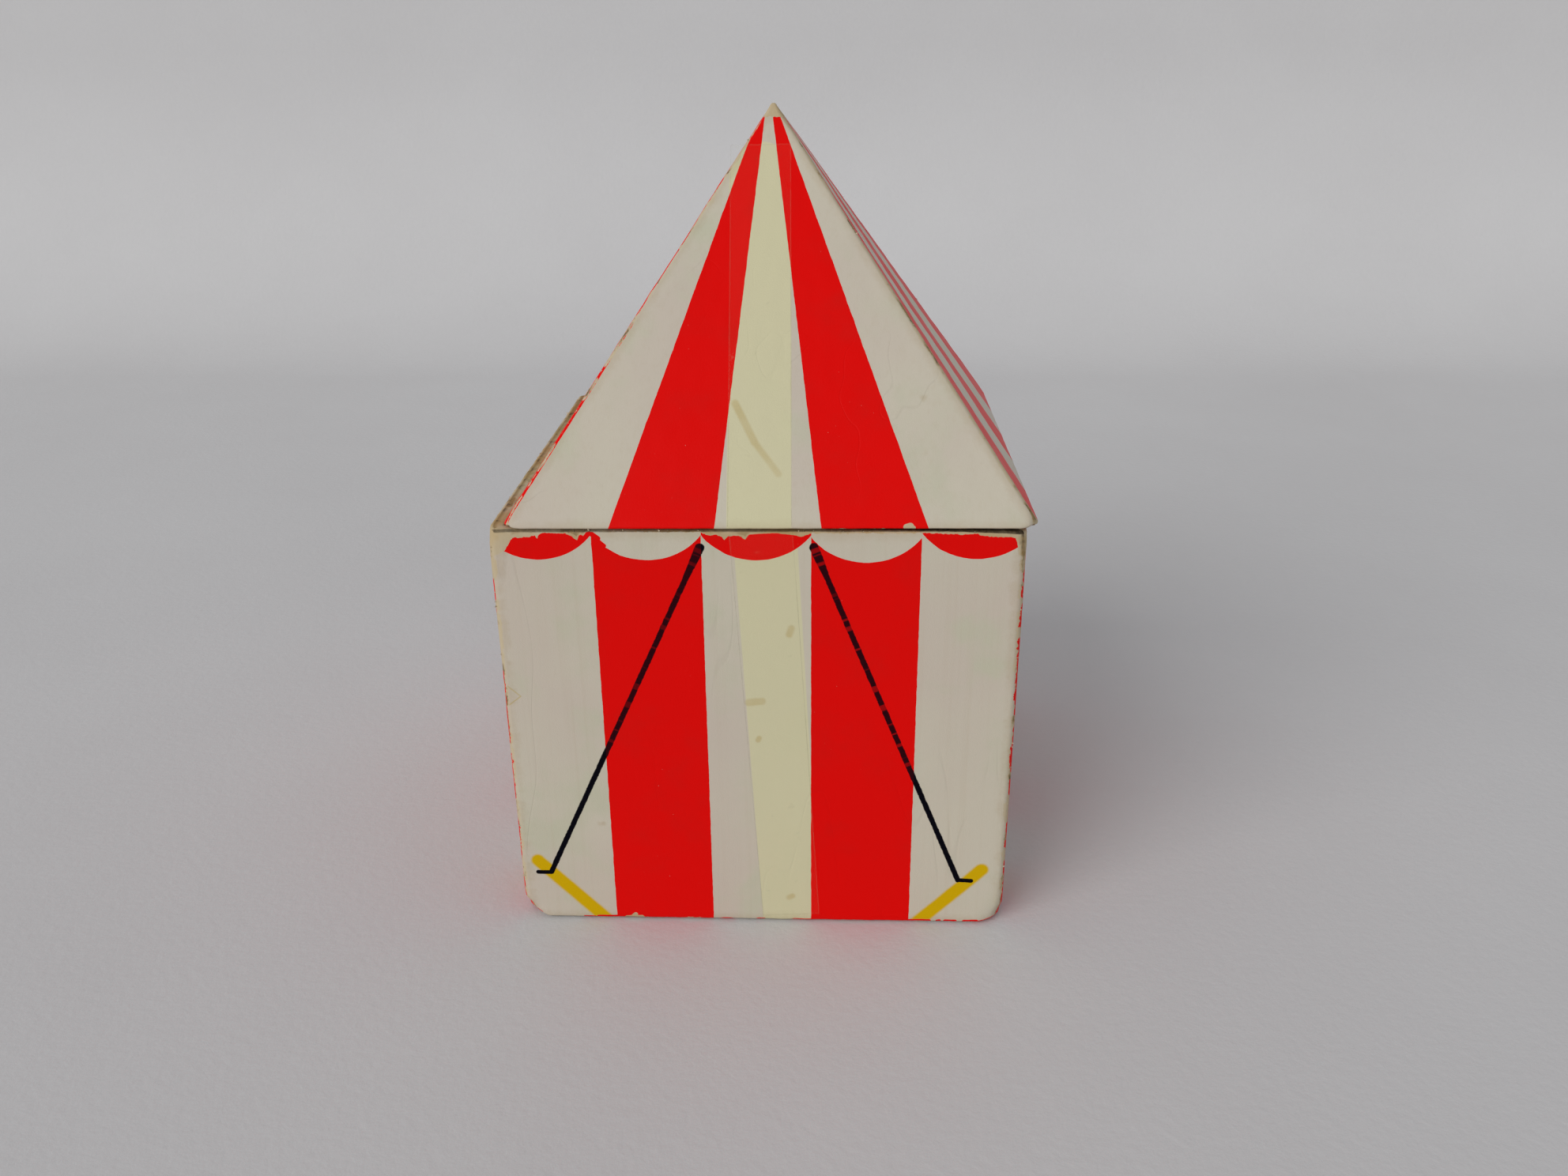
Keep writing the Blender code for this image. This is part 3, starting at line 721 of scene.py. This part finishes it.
    outer_line = over_one_another(outer_line, *[brush(*blot) for blot in RIM_BLOTS])
    outer_line = times(on_left, outer_line)
    rubbed_brown = times(front_brush(RIM_END_WORN), 0.85)
    # Painted shade of the lid's eave on the front rim, mottled so it also reads as grime.
    painted_shut_shade = times(front_brush(PAINTED_SHUT_SHADE), 0.75)
    painted_shade_under_lid = over_one_another(front_brush(PAINTED_GAP_WEDGE), painted_shut_shade)
    painted_shade_under_lid = times(painted_shade_under_lid, times_plus(width_noise, 0.5, 0.62))
    foot_line = calc("ABSOLUTE", minus(height, 0.0006))
    at_foot = use(rub, Vector=place, Distance=foot_line, Width=0.0001, Ragged=0.0006)
    bare_foot = times(at_foot["Rubbed"], minus(1.0, foot_ink))
    scratches = times(front_brush(*SCRATCHES), 1.2)
    tanned = calc("MINIMUM", plus(times(near_rim, 1.5), near_foot), 1.0)
    return {
        "red": red,
        "black": over_one_another(*lines),
        "gap": painted_shade_under_lid,
        "peg": times(over_one_another(*pegs), under_red),
        "stain": front_brush(BODY_TAPE_STAIN),
        "glue": over_one_another(front_brush(*GLUE_BLOTS), scratches),
        "rubbed": over_one_another(
            at_rim["Rubbed"], bare_corner, bare_foot, over_rim, front_brush(*FOOT_CHIPS)
        ),
        "bared": over_one_another(
            brown_corner, times(at_rim["Bared"], 0.6), rim_top, rubbed_brown, outer_line
        ),
        "soiled": over_one_another(at_rim["Soiled"], at_corner["Soiled"], at_foot["Soiled"]),
        "tanned": tanned,
    }


printed = printed_sheet("carton_print", carton_print)
carton_paper.data.materials.append(printed)
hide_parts("body_wrap")
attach(carton_paper, "box")

# ---------------------------------------------------------------------------------------------
# Lap: the end of the carton's sheet, pasted over its beginning down the back, near the corner. Its
# free edge stands a paper's thickness proud and runs a little crooked.

LAP_BACK_SIDE = 2
LAP_CORNER = BODY_HALF - 0.0050
LAP_FREE = BODY_HALF - 0.0135
LAP_STEP = 0.00024
LAP_ROOT = 0.0003
LAP_LOW = 0.011
LAP_HIGH = RIM - 0.005
LAP_CROOKED = 0.0004
verts, prints = [], []
for z in np.linspace(LAP_LOW, LAP_HIGH, 61):
    free = LAP_FREE + LAP_CROOKED * noise.noise(Vector((0.0, 0.0, z / 0.012)))
    for x, proud in ((LAP_CORNER, 0.00002), (LAP_CORNER, -LAP_ROOT), (free, -LAP_ROOT), (free, LAP_STEP)):
        verts.append((x, BODY_HALF + proud, z))
        prints.append((LAP_BACK_SIDE - x, z))
faces = [(0, 1, 2, 3), (len(verts) - 1, len(verts) - 2, len(verts) - 3, len(verts) - 4)]
for row in range(0, len(verts) - 4, 4):
    faces += [(row + k, row + 4 + k, row + 4 + (k + 1) % 4, row + (k + 1) % 4) for k in range(4)]
mesh = bpy.data.meshes.new("carton_lap")
mesh.from_pydata(verts, [], faces)
corners = [prints[loop.vertex_index] for loop in mesh.loops]
mesh.uv_layers.new(name="print").data.foreach_set("uv", np.array(corners, np.float32).ravel())
carton_lap = show("carton_lap", mesh)
carton_lap.data.materials.append(printed)
for vertex in carton_lap.data.vertices:
    swell = noise.noise(vertex.co / WALL_SWELL_SIZE + Vector((WALL_SWELL_SEED, WALL_SWELL_SEED, 0)))
    vertex.co.y += WALL_SWELL * off_the_edges(vertex.co) * swell
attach(carton_lap, "box")

# ---------------------------------------------------------------------------------------------
# Base sheet: plain uncoated paper pasted under the carton, over the turned-in edges of the printed
# sheet. It is scuffed and dirty from shelves.

scuffed, tree, shader, place = new_material("scuffed_paper", (0.5, 0.45, 0.36), 0.8, 0.2)
paper = use(aged, Vector=place)
scuffs = put(tree, "ShaderNodeMapping", {"Vector": place, "Rotation": (0, 0, 0.6), "Scale": (40, 400, 40)})
scuff = step_over(mottle(scuffs.outputs[0], 1.0, 3.0), 0.55, 0.75)
dirt = step_over(mottle(place, 30.0, 4.0), 0.42, 0.75)
colour = tint(times(dirt, 0.5), paper["Color"], GRIME)
tree.links.new(tint(times(scuff, 0.35), colour, FOXED), shader.inputs["Base Color"])
emboss(shader, paper["Height"], 0.0001)
nodes["base_sheet"].data.materials[0] = scuffed

# ---------------------------------------------------------------------------------------------
# Linings: plain white paper pasted inside the walls, on the floor, up inside the roof and round
# the collar. Uncoated, yellowed where the air reaches it, dusty in the corners.

LINING_WHITE = (0.68, 0.645, 0.57, 1)
LINING_TONED = (0.56, 0.49, 0.37, 1)
lining, tree, shader, place = new_material("lining_paper", LINING_WHITE[:3], 0.85, 0.2)
paper = use(aged, Vector=place)
toned = tint(mottle(place, 14.0, 3.0), LINING_TONED, LINING_WHITE)
colour = tint(0.55, paper["Color"], toned)
tree.links.new(colour, shader.inputs["Base Color"])
emboss(shader, paper["Height"], 0.00012)
for lined in ("wall_liner", "floor_liner", "roof_liner", "collar_wrap"):
    nodes[lined].data.materials[0] = lining

# ---------------------------------------------------------------------------------------------
# Roof paper: one printed sheet over the four slopes, mitred at the hips and turned in at the eaves.
# The hips and the peak have rubbed through, and the eaves are chipped where fingers lift the lid.

EAVE_HALF = 0.0758
ROOF_RISE = 0.109
SLOPE = math.atan2(ROOF_RISE, EAVE_HALF)
EAVE_FOLD = 0.0005
HIP = 0.0012
EAVE_CRUSH = 0.0022
EAVE_TURN_IN = 0.0078
PEAK_HALF = 0.0012
PEAK_RISE = 0.0009

# Where the lid sits: its eaves' underside is a plane that leans a little from left to right.
roof_low, roof_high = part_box("roof_wrap")
under = sorted((v.co.z, v.co.x) for v in nodes["roof_wrap"].data.vertices)
left_low = under[0]
right_low = next(p for p in under if p[1] > roof_high.x - 0.02)
LEAN = math.atan2(right_low[0] - left_low[0], right_low[1] - left_low[1])
SEAT = Vector(((roof_low.x + roof_high.x) / 2, (roof_low.y + roof_high.y) / 2, 0))
SEAT.z = left_low[0] + (SEAT.x - left_low[1]) * math.tan(LEAN)
LID = Matrix.Translation(SEAT) @ Matrix.Rotation(-LEAN, 4, "Y")


def roof_rows():
    """The sheet's profile from the edge under the eaves, round the fold and up to the peak."""
    flat = [(EAVE_HALF - EAVE_TURN_IN + reach, 0.0) for reach in np.linspace(0, EAVE_TURN_IN - 0.003, 4)]
    lean = math.degrees(SLOPE)
    centre = (EAVE_HALF - EAVE_FOLD / math.tan(SLOPE) - EAVE_FOLD / math.sin(SLOPE), EAVE_FOLD)
    fold = quarter_arc(centre, EAVE_FOLD, -90, 90 - lean, 6)
    peak_z = (EAVE_HALF - PEAK_HALF) * math.tan(SLOPE)
    slope = [((EAVE_HALF - z / math.tan(SLOPE)), z) for z in np.linspace(fold[-1][1], peak_z, 66)[1:]]
    cap = [(PEAK_HALF * 0.75, peak_z + PEAK_RISE * 0.6), (PEAK_HALF * 0.35, peak_z + PEAK_RISE)]
    outline = flat + fold + slope + cap
    rows = []
    for half, z in outline:
        up_slope = z / math.sin(SLOPE)
        height = up_slope if z > 0 else half - EAVE_HALF
        radius = HIP + EAVE_CRUSH * math.exp(-up_slope / 0.003)
        rows.append((half, z, min(radius, half * 0.6), height))
    inner_peak = peak_z - 3 * PAPER
    back = [(PEAK_HALF * 0.3, inner_peak), (EAVE_HALF - centre[1] / math.tan(SLOPE) - 0.0014, 0.0008)]
    back.append((EAVE_HALF - EAVE_TURN_IN, PAPER))
    rows += [(half, z, min(HIP + EAVE_CRUSH * 0.6, half * 0.6), 0.0) for half, z in back]
    return rows


roof_paper = skin("roof_paper", roof_rows())


def off_the_hips(co):
    """1 on the open slope, falling to 0 at the eaves, where the paper is stretched over the board."""
    return min(1.0, max(0.0, co.z / 0.01))


ROOF_SWELL = 0.00022
ROOF_SWELL_SIZE = 0.03
ROOF_SWELL_SEED = 21.0
buckle(roof_paper, ROOF_SWELL, ROOF_SWELL_SIZE, off_the_hips, ROOF_SWELL_SEED)
ROOF_PUCKER = 0.0001
buckle(roof_paper, ROOF_PUCKER, PUCKER_SIZE, None, 5.0)
EAVE_DENT = 0.0016
EAVE_DENT_REACH = 0.0055
for sx, sy, share in ((-1, -1, 0.7), (1, -1, 1.0), (1, 1, 0.8), (-1, 1, 0.6)):
    tip = (sx * EAVE_HALF, sy * EAVE_HALF, 0)
    dent(roof_paper, tip, (-sx, -sy, 0.5), EAVE_DENT_REACH, EAVE_DENT * share)
roof_paper.data.transform(LID)

STRIPE_INNER = 0.0150
STRIPE_INNER_RAKE = 0.1085
STRIPE_OUTER = 0.0449
STRIPE_OUTER_RAKE = 0.326
PRINT_SHIFT = -0.0003
PRINT_RAKE = -0.0075
SLANT = ROOF_RISE / math.sin(SLOPE)
HIP_SPILL = 0.0007

# Strokes of a brush on the front slope, as on the carton; each end is (place along, way up it).
EAVE_CHIP = (
    ((0.0384, 0.0007), (0.0394, 0.0010), 0.0009, CRISP),
    ((0.0396, 0.0004), (0.0402, 0.0005), 0.0006, CRISP),
)
EAVE_SPOTS = (
    ((-0.0752, 0.0002), (-0.0738, 0.0004), 0.0003, 0.0004),
    ((-0.0742, 0.0030), (-0.0738, 0.0042), 0.0002, 0.0004),
)
ROOF_TAPE_STAIN = ((-0.0026, -0.0200), (-0.0036, 0.1100), 0.0089, 0.0004)
ROOF_SMEAR = (
    ((-0.0100, 0.0372), (-0.0042, 0.0254), 0.0006, 0.0009),
    ((-0.0042, 0.0254), (0.0026, 0.0161), 0.0004, 0.0010),
)
FAINT_SMEAR = ((-0.0188, 0.1000), (-0.0158, 0.1150), 0.0010, 0.0012)


def roof_print(tree, side, along, height, place):
    """Stripes that close in towards the peak, colours changing places on the next side."""
    wobble = times_plus(mottle(place, 300.0, 3.0), 0.0004, -0.0002)
    centre = times_plus(height, PRINT_RAKE, PRINT_SHIFT)
    across = plus(calc("ABSOLUTE", minus(along, centre)), wobble)
    inner = times_plus(height, -STRIPE_INNER_RAKE, STRIPE_INNER)
    outer = times_plus(height, -STRIPE_OUTER_RAKE, STRIPE_OUTER)
    striped = times(calc("GREATER_THAN", across, inner), calc("LESS_THAN", across, outer))
    hip_line = times_plus(height, -EAVE_HALF / SLANT, EAVE_HALF - HIP * (1 - math.pi / 4))
    hip = minus(hip_line, calc("ABSOLUTE", along))
    left_of_it = plus(plus(hip_line, along), wobble)
    spill_width = times(step_over(height, 0.070, 0.058), HIP_SPILL)
    spilled = calc("LESS_THAN", left_of_it, spill_width)
    parity = calc("FLOORED_MODULO", plus(side, spilled), 2.0)
    red = calc("ABSOLUTE", minus(striped, parity))
    spot = put(tree, "ShaderNodeCombineXYZ", {0: along, 1: height}).outputs[0]
    on_front = calc("LESS_THAN", calc("ABSOLUTE", side), 0.5)

    def front_brush(*strokes):
        parts = []
        for start, end, half_width, softness in strokes:
            ends = {"A": (*start, 0), "B": (*end, 0)}
            line = use(stroke, Point=spot, Half_Width=half_width, Softness=softness, **ends)
            parts.append(times(line["Mask"], on_front))
        return over_one_another(*parts)

    held = step_over(mottle(place, 75.0, 2.0), 0.56, 0.44)
    near_eave = calc("EXPONENT", calc("DIVIDE", calc("ABSOLUTE", height), -0.004))
    near_peak = calc("EXPONENT", calc("DIVIDE", minus(SLANT, height), -0.010))
    hip_width = times_plus(near_eave, 0.0010, -0.0001)
    hip_width = times_plus(held, 0.0006, hip_width)
    left_half = calc("LESS_THAN", along, 0.0)
    beside_front = times(calc("COMPARE", side, 1.0, 0.5), left_half)
    beside_width = times_plus(near_eave, 0.0040, 0.0012)
    hip_width = times_plus(beside_front, beside_width, hip_width)
    at_hip = use(rub, Vector=place, Distance=hip, Width=hip_width, Ragged=0.0005)
    from_eave = calc("ABSOLUTE", height)
    at_eave = use(rub, Vector=place, Distance=from_eave, Width=-0.0001, Ragged=0.0005)
    from_peak = minus(SLANT, height)
    at_peak = use(rub, Vector=place, Distance=from_peak, Width=0.0056, Ragged=0.0007)
    faint_smear = times(front_brush(FAINT_SMEAR), 0.5)
    bared_eave = times(at_eave["Bared"], 0.5)
    return {
        "red": red,
        "stain": front_brush(ROOF_TAPE_STAIN),
        "glue": over_one_another(front_brush(*ROOF_SMEAR), faint_smear),
        "rubbed": over_one_another(
            at_hip["Rubbed"], at_eave["Rubbed"], at_peak["Rubbed"], front_brush(*EAVE_CHIP)
        ),
        "bared": over_one_another(
            at_hip["Bared"], bared_eave, at_peak["Bared"], front_brush(*EAVE_SPOTS)
        ),
        "soiled": over_one_another(at_hip["Soiled"], at_eave["Soiled"], at_peak["Soiled"]),
        "tanned": calc("MAXIMUM", times(near_eave, 0.5), near_peak),
    }


roof_paper.data.materials.append(printed_sheet("roof_print", roof_print))
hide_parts("roof_wrap")
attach(roof_paper, "lid")

# ---------------------------------------------------------------------------------------------
# Tapes: old clear cellulose tape, a strip up the roof and a slanting one down the wall, slit at
# the lid's seam. The film is thin and yellowed, dirty along its edges and torn off in saw teeth.

TAPE_HALF = 0.009
FILM = 0.00005
FILM_LIFT = 0.00006
TOOTH = 0.0011
TOOTH_DEPTH = 0.0006
STRIP_CELLS = (90, 32)


def film_strip(name, start, end, surface, torn_start, torn_end):
    """A strip of tape from start to end on a flat side; surface(x, up) gives its points in place."""
    start, end = Vector(start), Vector(end)
    way = (end - start).normalized()
    sideways = Vector((way.y, -way.x))
    rows, columns = STRIP_CELLS
    verts = []
    for i in range(rows + 1):
        for j in range(columns + 1):
            u, v = j / columns, i / rows
            jag = TOOTH_DEPTH * abs(((u * 2 * TAPE_HALF / TOOTH) % 1.0) - 0.5) * 2
            spot = start.lerp(end, v) + sideways * (TAPE_HALF * (2 * u - 1))
            spot += way * (jag * (torn_start * (1 - v) ** 8 - torn_end * v**8))
            verts.append(surface(spot.x, spot.y))
    wide = columns + 1
    faces = [
        (i * wide + j, i * wide + j + 1, (i + 1) * wide + j + 1, (i + 1) * wide + j)
        for i in range(rows)
        for j in range(columns)
    ]
    mesh = bpy.data.meshes.new(name)
    mesh.from_pydata(verts, [], faces)
    strip = mesh.uv_layers.new(name="strip")
    for loop in mesh.loops:
        number = loop.vertex_index
        strip.data[loop.index].uv = ((number % wide) / columns, number // wide / rows)
    obj = show(name, mesh, 60)
    solid = obj.modifiers.new("film", "SOLIDIFY")
    solid.thickness = FILM
    solid.offset = 1.0
    return obj


FILM_YELLOW = (0.72, 0.68, 0.46, 1)
FILM_DIRT = (0.22, 0.17, 0.08, 1)
film, tree, shader, place = new_material("yellowed_tape", FILM_YELLOW[:3], 0.3, 0.2)
strip_map = put(tree, "ShaderNodeUVMap", uv_map="strip").outputs[0]
strip_spot = put(tree, "ShaderNodeSeparateXYZ", {0: strip_map})
from_middle = calc("ABSOLUTE", minus(strip_spot.outputs[0], 0.5))
from_side = minus(0.5, from_middle)
frayed = times_plus(mottle(place, 400.0, 3.0), 0.02, from_side)
side_dirt = times(step_over(frayed, 0.030, 0.012), mottle(place, 60.0))
from_end = minus(1.0, strip_spot.outputs[1])
from_end = times_plus(mottle(place, 300.0), 0.003, from_end)
end_dirt = step_over(from_end, 0.006, 0.0015)
dirt = calc("MAXIMUM", side_dirt, times(end_dirt, 0.3))
bubbles = step_over(mottle(place, 240.0, 3.0, 0.6), 0.66, 0.72)
dull = times_plus(bubbles, 0.03, 0.006)
tree.links.new(times_plus(dirt, 0.12, dull), shader.inputs["Alpha"])
tree.links.new(tint(dirt, FILM_YELLOW, FILM_DIRT), shader.inputs["Base Color"])
wrinkles = put(tree, "ShaderNodeMapping", {"Vector": place, "Scale": (90, 90, 520)}).outputs[0]
emboss(shader, mottle(wrinkles, 1.0, 3.0), 0.00008)


def on_wall(x, z):
    """A point of the front wall, riding on the paper's buckles."""
    flat = Vector((x, -BODY_HALF, z))
    wave = noise.noise(flat / WALL_SWELL_SIZE + Vector((WALL_SWELL_SEED, WALL_SWELL_SEED, 0)))
    swell = WALL_SWELL * off_the_edges(flat) * wave
    return flat + Vector((0, -1, 0)) * (swell + FILM_LIFT)


def on_roof(x, slant):
    """A point of the roof's front slope, riding on the paper's buckles."""
    z = slant * math.sin(SLOPE)
    flat = Vector((x, -(EAVE_HALF - z / math.tan(SLOPE)), z))
    wave = noise.noise(flat / ROOF_SWELL_SIZE + Vector((ROOF_SWELL_SEED, ROOF_SWELL_SEED, 0)))
    swell = ROOF_SWELL * off_the_hips(flat) * wave
    return LID @ (flat + Vector((0, -math.sin(SLOPE), math.cos(SLOPE))) * (swell + FILM_LIFT))


wall_film = film_strip("wall_film", (0.0014, 0.1322), (0.0092, 0.0024), on_wall, 0.0, 1.0)
roof_film = film_strip("roof_film", (-0.0026, 0.0010), (-0.0036, 0.1185), on_roof, 0.0, 1.0)
for piece, stand_in, body in ((wall_film, "body_tape", "box"), (roof_film, "roof_tape", "lid")):
    piece.data.materials.append(film)
    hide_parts(stand_in)
    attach(piece, body)

# ---------------------------------------------------------------------------------------------
# Frayed edges: scraps of the printed paper and single fibres that stand up where the folds have
# split, along the carton's upright corners and rim and the lid's hips.


def wire(name, runs, step):
    """Loose edges along straight runs, with a point at every step, for Geometry Nodes to follow."""
    verts, edges = [], []
    for start, end in runs:
        start, end = Vector(start), Vector(end)
        count = max(2, round((end - start).length / step))
        edges += [(len(verts) + i, len(verts) + i + 1) for i in range(count)]
        verts += [start.lerp(end, i / count) for i in range(count + 1)]
    mesh = bpy.data.meshes.new(name)
    mesh.from_pydata(verts, edges, [])
    obj = bpy.data.objects.new(name, mesh)
    bpy.context.scene.collection.objects.link(obj)
    return obj


SCRAP_THICK = 0.00006
FRAY_INPUTS = (
    ("Spacing", "NodeSocketFloat"),
    ("Length", "NodeSocketFloat"),
    ("Width", "NodeSocketFloat"),
    ("Share", "NodeSocketFloat"),
    ("Seed", "NodeSocketInt"),
    ("Paper", "NodeSocketMaterial"),
)


def fray_tree():
    """Scatters thin pointed scraps along a wire, each turned at random, and joins them up."""
    tree = bpy.data.node_groups.new("frayed_edge", "GeometryNodeTree")
    tree.interface.new_socket("Geometry", in_out="INPUT", socket_type="NodeSocketGeometry")
    for label, kind in FRAY_INPUTS:
        tree.interface.new_socket(label, in_out="INPUT", socket_type=kind)
    tree.interface.new_socket("Geometry", in_out="OUTPUT", socket_type="NodeSocketGeometry")
    given, made = tree.nodes.new("NodeGroupInput").outputs, tree.nodes.new("NodeGroupOutput").inputs
    path = put(tree, "GeometryNodeMeshToCurve", {0: given["Geometry"]}).outputs[0]
    inputs = {"Curve": path, "Length": given["Spacing"]}
    evenly = put(tree, "GeometryNodeResampleCurve", inputs, mode="LENGTH").outputs[0]
    sizes = {"Vertices": 4, "Radius Top": 0.00002, "Radius Bottom": 0.5, "Depth": 1.0}
    scrap = put(tree, "GeometryNodeMeshCone", sizes)
    thin = {0: given["Width"], 1: SCRAP_THICK, 2: given["Length"]}
    flat = put(tree, "ShaderNodeCombineXYZ", thin).outputs[0]
    sized = put(tree, "GeometryNodeTransform", {"Geometry": scrap.outputs[0], "Scale": flat}).outputs[0]
    seed_of = {"Seed": given["Seed"]}
    chance = {"Probability": given["Share"], **seed_of}
    keep = put(tree, "FunctionNodeRandomValue", chance, data_type="BOOLEAN")
    turn = put(tree, "FunctionNodeRandomValue", seed_of, data_type="FLOAT_VECTOR")
    turn.inputs[0].default_value = (-math.pi, -math.pi, -math.pi)
    turn.inputs[1].default_value = (math.pi, math.pi, math.pi)
    grow = put(tree, "FunctionNodeRandomValue", seed_of, data_type="FLOAT")
    grow.inputs[2].default_value = 0.35
    grow.inputs[3].default_value = 1.0
    scattered = {
        "Points": evenly,
        "Selection": keep.outputs[3],
        "Instance": sized,
        "Rotation": turn.outputs[0],
        "Scale": grow.outputs[1],
    }
    placed = put(tree, "GeometryNodeInstanceOnPoints", scattered).outputs[0]
    solid = put(tree, "GeometryNodeRealizeInstances", {0: placed}).outputs[0]
    dressed = put(tree, "GeometryNodeSetMaterial", {"Geometry": solid, "Material": given["Paper"]})
    tree.links.new(dressed.outputs[0], made["Geometry"])
    return tree


def grown(obj, tree, values):
    """Runs a Geometry Nodes tree on an object and keeps the plain mesh that it makes."""
    modifier = obj.modifiers.new("grown", "NODES")
    modifier.node_group = tree
    for item in tree.interface.items_tree:
        if item.in_out == "INPUT" and item.name in values:
            modifier[item.identifier] = values[item.name]
    seen = obj.evaluated_get(bpy.context.evaluated_depsgraph_get())
    mesh = bpy.data.meshes.new_from_object(seen)
    obj.modifiers.clear()
    wired = obj.data
    obj.data = mesh
    bpy.data.meshes.remove(wired)


scraps, tree, shader, place = new_material("frayed_paper", PAPER_CORE[:3], 0.85, 0.15)
tree.links.new(tint(mottle(place, 300.0), PAPER_TAN, CREAM), shader.inputs["Base Color"])
emboss(shader, mottle(place, 3000.0), 0.00003)

LINE_IN = CORNER * (1 - math.sqrt(0.5)) - 0.00005
upright = BODY_HALF - LINE_IN
FRAY_FOOT = 0.012
FRAY_RIM = 0.004
CORNERS = ((-1, -1), (1, -1), (1, 1), (-1, 1))
box_runs = []
for sx, sy in CORNERS:
    x, y = sx * upright, sy * upright
    box_runs.append(((x, y, FRAY_FOOT), (x, y, RIM - FRAY_RIM)))
crest = BODY_HALF - FOLD * (1 - math.sqrt(0.5))
brow = RIM - FOLD * (1 - math.sqrt(0.5))
rim_corners = [Vector((sx * crest, sy * crest, brow)) for sx, sy in CORNERS]
SHY_OF_CORNER = 0.05
HIP_RUN = (0.06, 0.97)
for start, end in zip(rim_corners, rim_corners[1:] + rim_corners[:1]):
    box_runs.append((start.lerp(end, SHY_OF_CORNER), end.lerp(start, SHY_OF_CORNER)))
hip_in = HIP * (1 - math.sqrt(0.5))
hip_top = EAVE_HALF * math.tan(SLOPE)
lid_runs = []
for sx, sy in CORNERS:
    foot = Vector((sx * (EAVE_HALF - hip_in), sy * (EAVE_HALF - hip_in), 0))
    peak = Vector((0, 0, hip_top - hip_in * math.tan(SLOPE)))
    lid_runs.append((LID @ foot.lerp(peak, HIP_RUN[0]), LID @ foot.lerp(peak, HIP_RUN[1])))
WIRE_STEP = 0.004
SCRAPS = {
    "flakes": {"Length": 0.0008, "Width": 0.0008, "Spacing": 0.0014, "Share": 0.25},
    "fibres": {"Length": 0.0016, "Width": 0.00006, "Spacing": 0.0009, "Share": 0.35},
}
fray = fray_tree()
for name, runs, body, slot, seed in (
    ("box_scraps", box_runs, "box", "printed_paper", 11),
    ("lid_scraps", lid_runs, "lid", "printed_roof_paper", 23),
):
    for kind, sizes in SCRAPS.items():
        piece = wire(f"{name}_{kind}", runs, WIRE_STEP)
        grown(piece, fray, {**sizes, "Seed": seed, "Paper": scraps})
        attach(piece, body)

# ---------------------------------------------------------------------------------------------
# The room: a plain pale floor that sweeps up behind, a wide soft light low from the left front,
# and the camera.

FLOOR_DULL = (0.62, 0.61, 0.615, 1)
FLOOR_PALE = (0.68, 0.675, 0.68, 1)
floor_material, tree, shader, place = new_material("pale_floor", FLOOR_PALE[:3], 0.8, 0.2)
cloud = mottle(place, 6.0, 4.0)
tree.links.new(tint(cloud, FLOOR_DULL, FLOOR_PALE), shader.inputs["Base Color"])
emboss(shader, mottle(place, 300.0, 4.0), 0.0002)
FLOOR_REACH = 6.0
SWEEP_START = 0.64
SWEEP_RADIUS = 0.25
SWEEP_TOP = 2.0
SWEEP_STEPS = 16
sweep_turns = [math.radians(90 * step / SWEEP_STEPS) for step in range(SWEEP_STEPS + 1)]
sweep = [(-FLOOR_REACH, 0.0)]
sweep += [(SWEEP_START + SWEEP_RADIUS * math.sin(t), SWEEP_RADIUS * (1 - math.cos(t))) for t in sweep_turns]
sweep += [(SWEEP_START + SWEEP_RADIUS, SWEEP_TOP)]
floor_mesh = bpy.data.meshes.new("floor")
floor_mesh.from_pydata(
    [(x, y, z) for y, z in sweep for x in (-FLOOR_REACH, FLOOR_REACH)],
    [],
    [(2 * i, 2 * i + 1, 2 * i + 3, 2 * i + 2) for i in range(len(sweep) - 1)],
)
floor_mesh.shade_smooth()
floor_mesh.materials.append(floor_material)
floor = bpy.data.objects.new("floor", floor_mesh)
bpy.context.scene.collection.objects.link(floor)

LIGHT_FROM = Vector((-0.66, -0.75, 0.52))
sun = bpy.data.lights.new("window", "SUN")
sun.energy = 1.45
sun.angle = math.radians(42)
sun.color = (1.0, 0.985, 0.955)
window = bpy.data.objects.new("window", sun)
bpy.context.scene.collection.objects.link(window)
window.rotation_euler = (-LIGHT_FROM).to_track_quat("-Z", "Y").to_euler()

world = bpy.data.worlds.new("soft_room")
world.use_nodes = True
sky = world.node_tree.nodes["Background"].inputs
sky["Color"].default_value = (0.93, 0.96, 1.0, 1)
sky["Strength"].default_value = 0.41
bpy.context.scene.world = world
bpy.context.scene.view_settings.view_transform = "Standard"

CAMERA_PLACE = (0.0202, -0.4175, 0.2607)
CAMERA_YAW = math.radians(2.08)
CAMERA_PITCH = math.radians(23.0)
CAMERA_ROLL = math.radians(-0.49)
camera_data = bpy.data.cameras.new("camera")
camera_data.lens = 29.94
camera_data.sensor_width = 36.0
camera = bpy.data.objects.new("camera", camera_data)
bpy.context.scene.collection.objects.link(camera)
camera.location = CAMERA_PLACE
aim = Euler((math.pi / 2 - CAMERA_PITCH, 0, CAMERA_YAW)).to_matrix()
camera.rotation_euler = (aim @ Matrix.Rotation(CAMERA_ROLL, 3, "Z")).to_euler()
bpy.context.scene.camera = camera
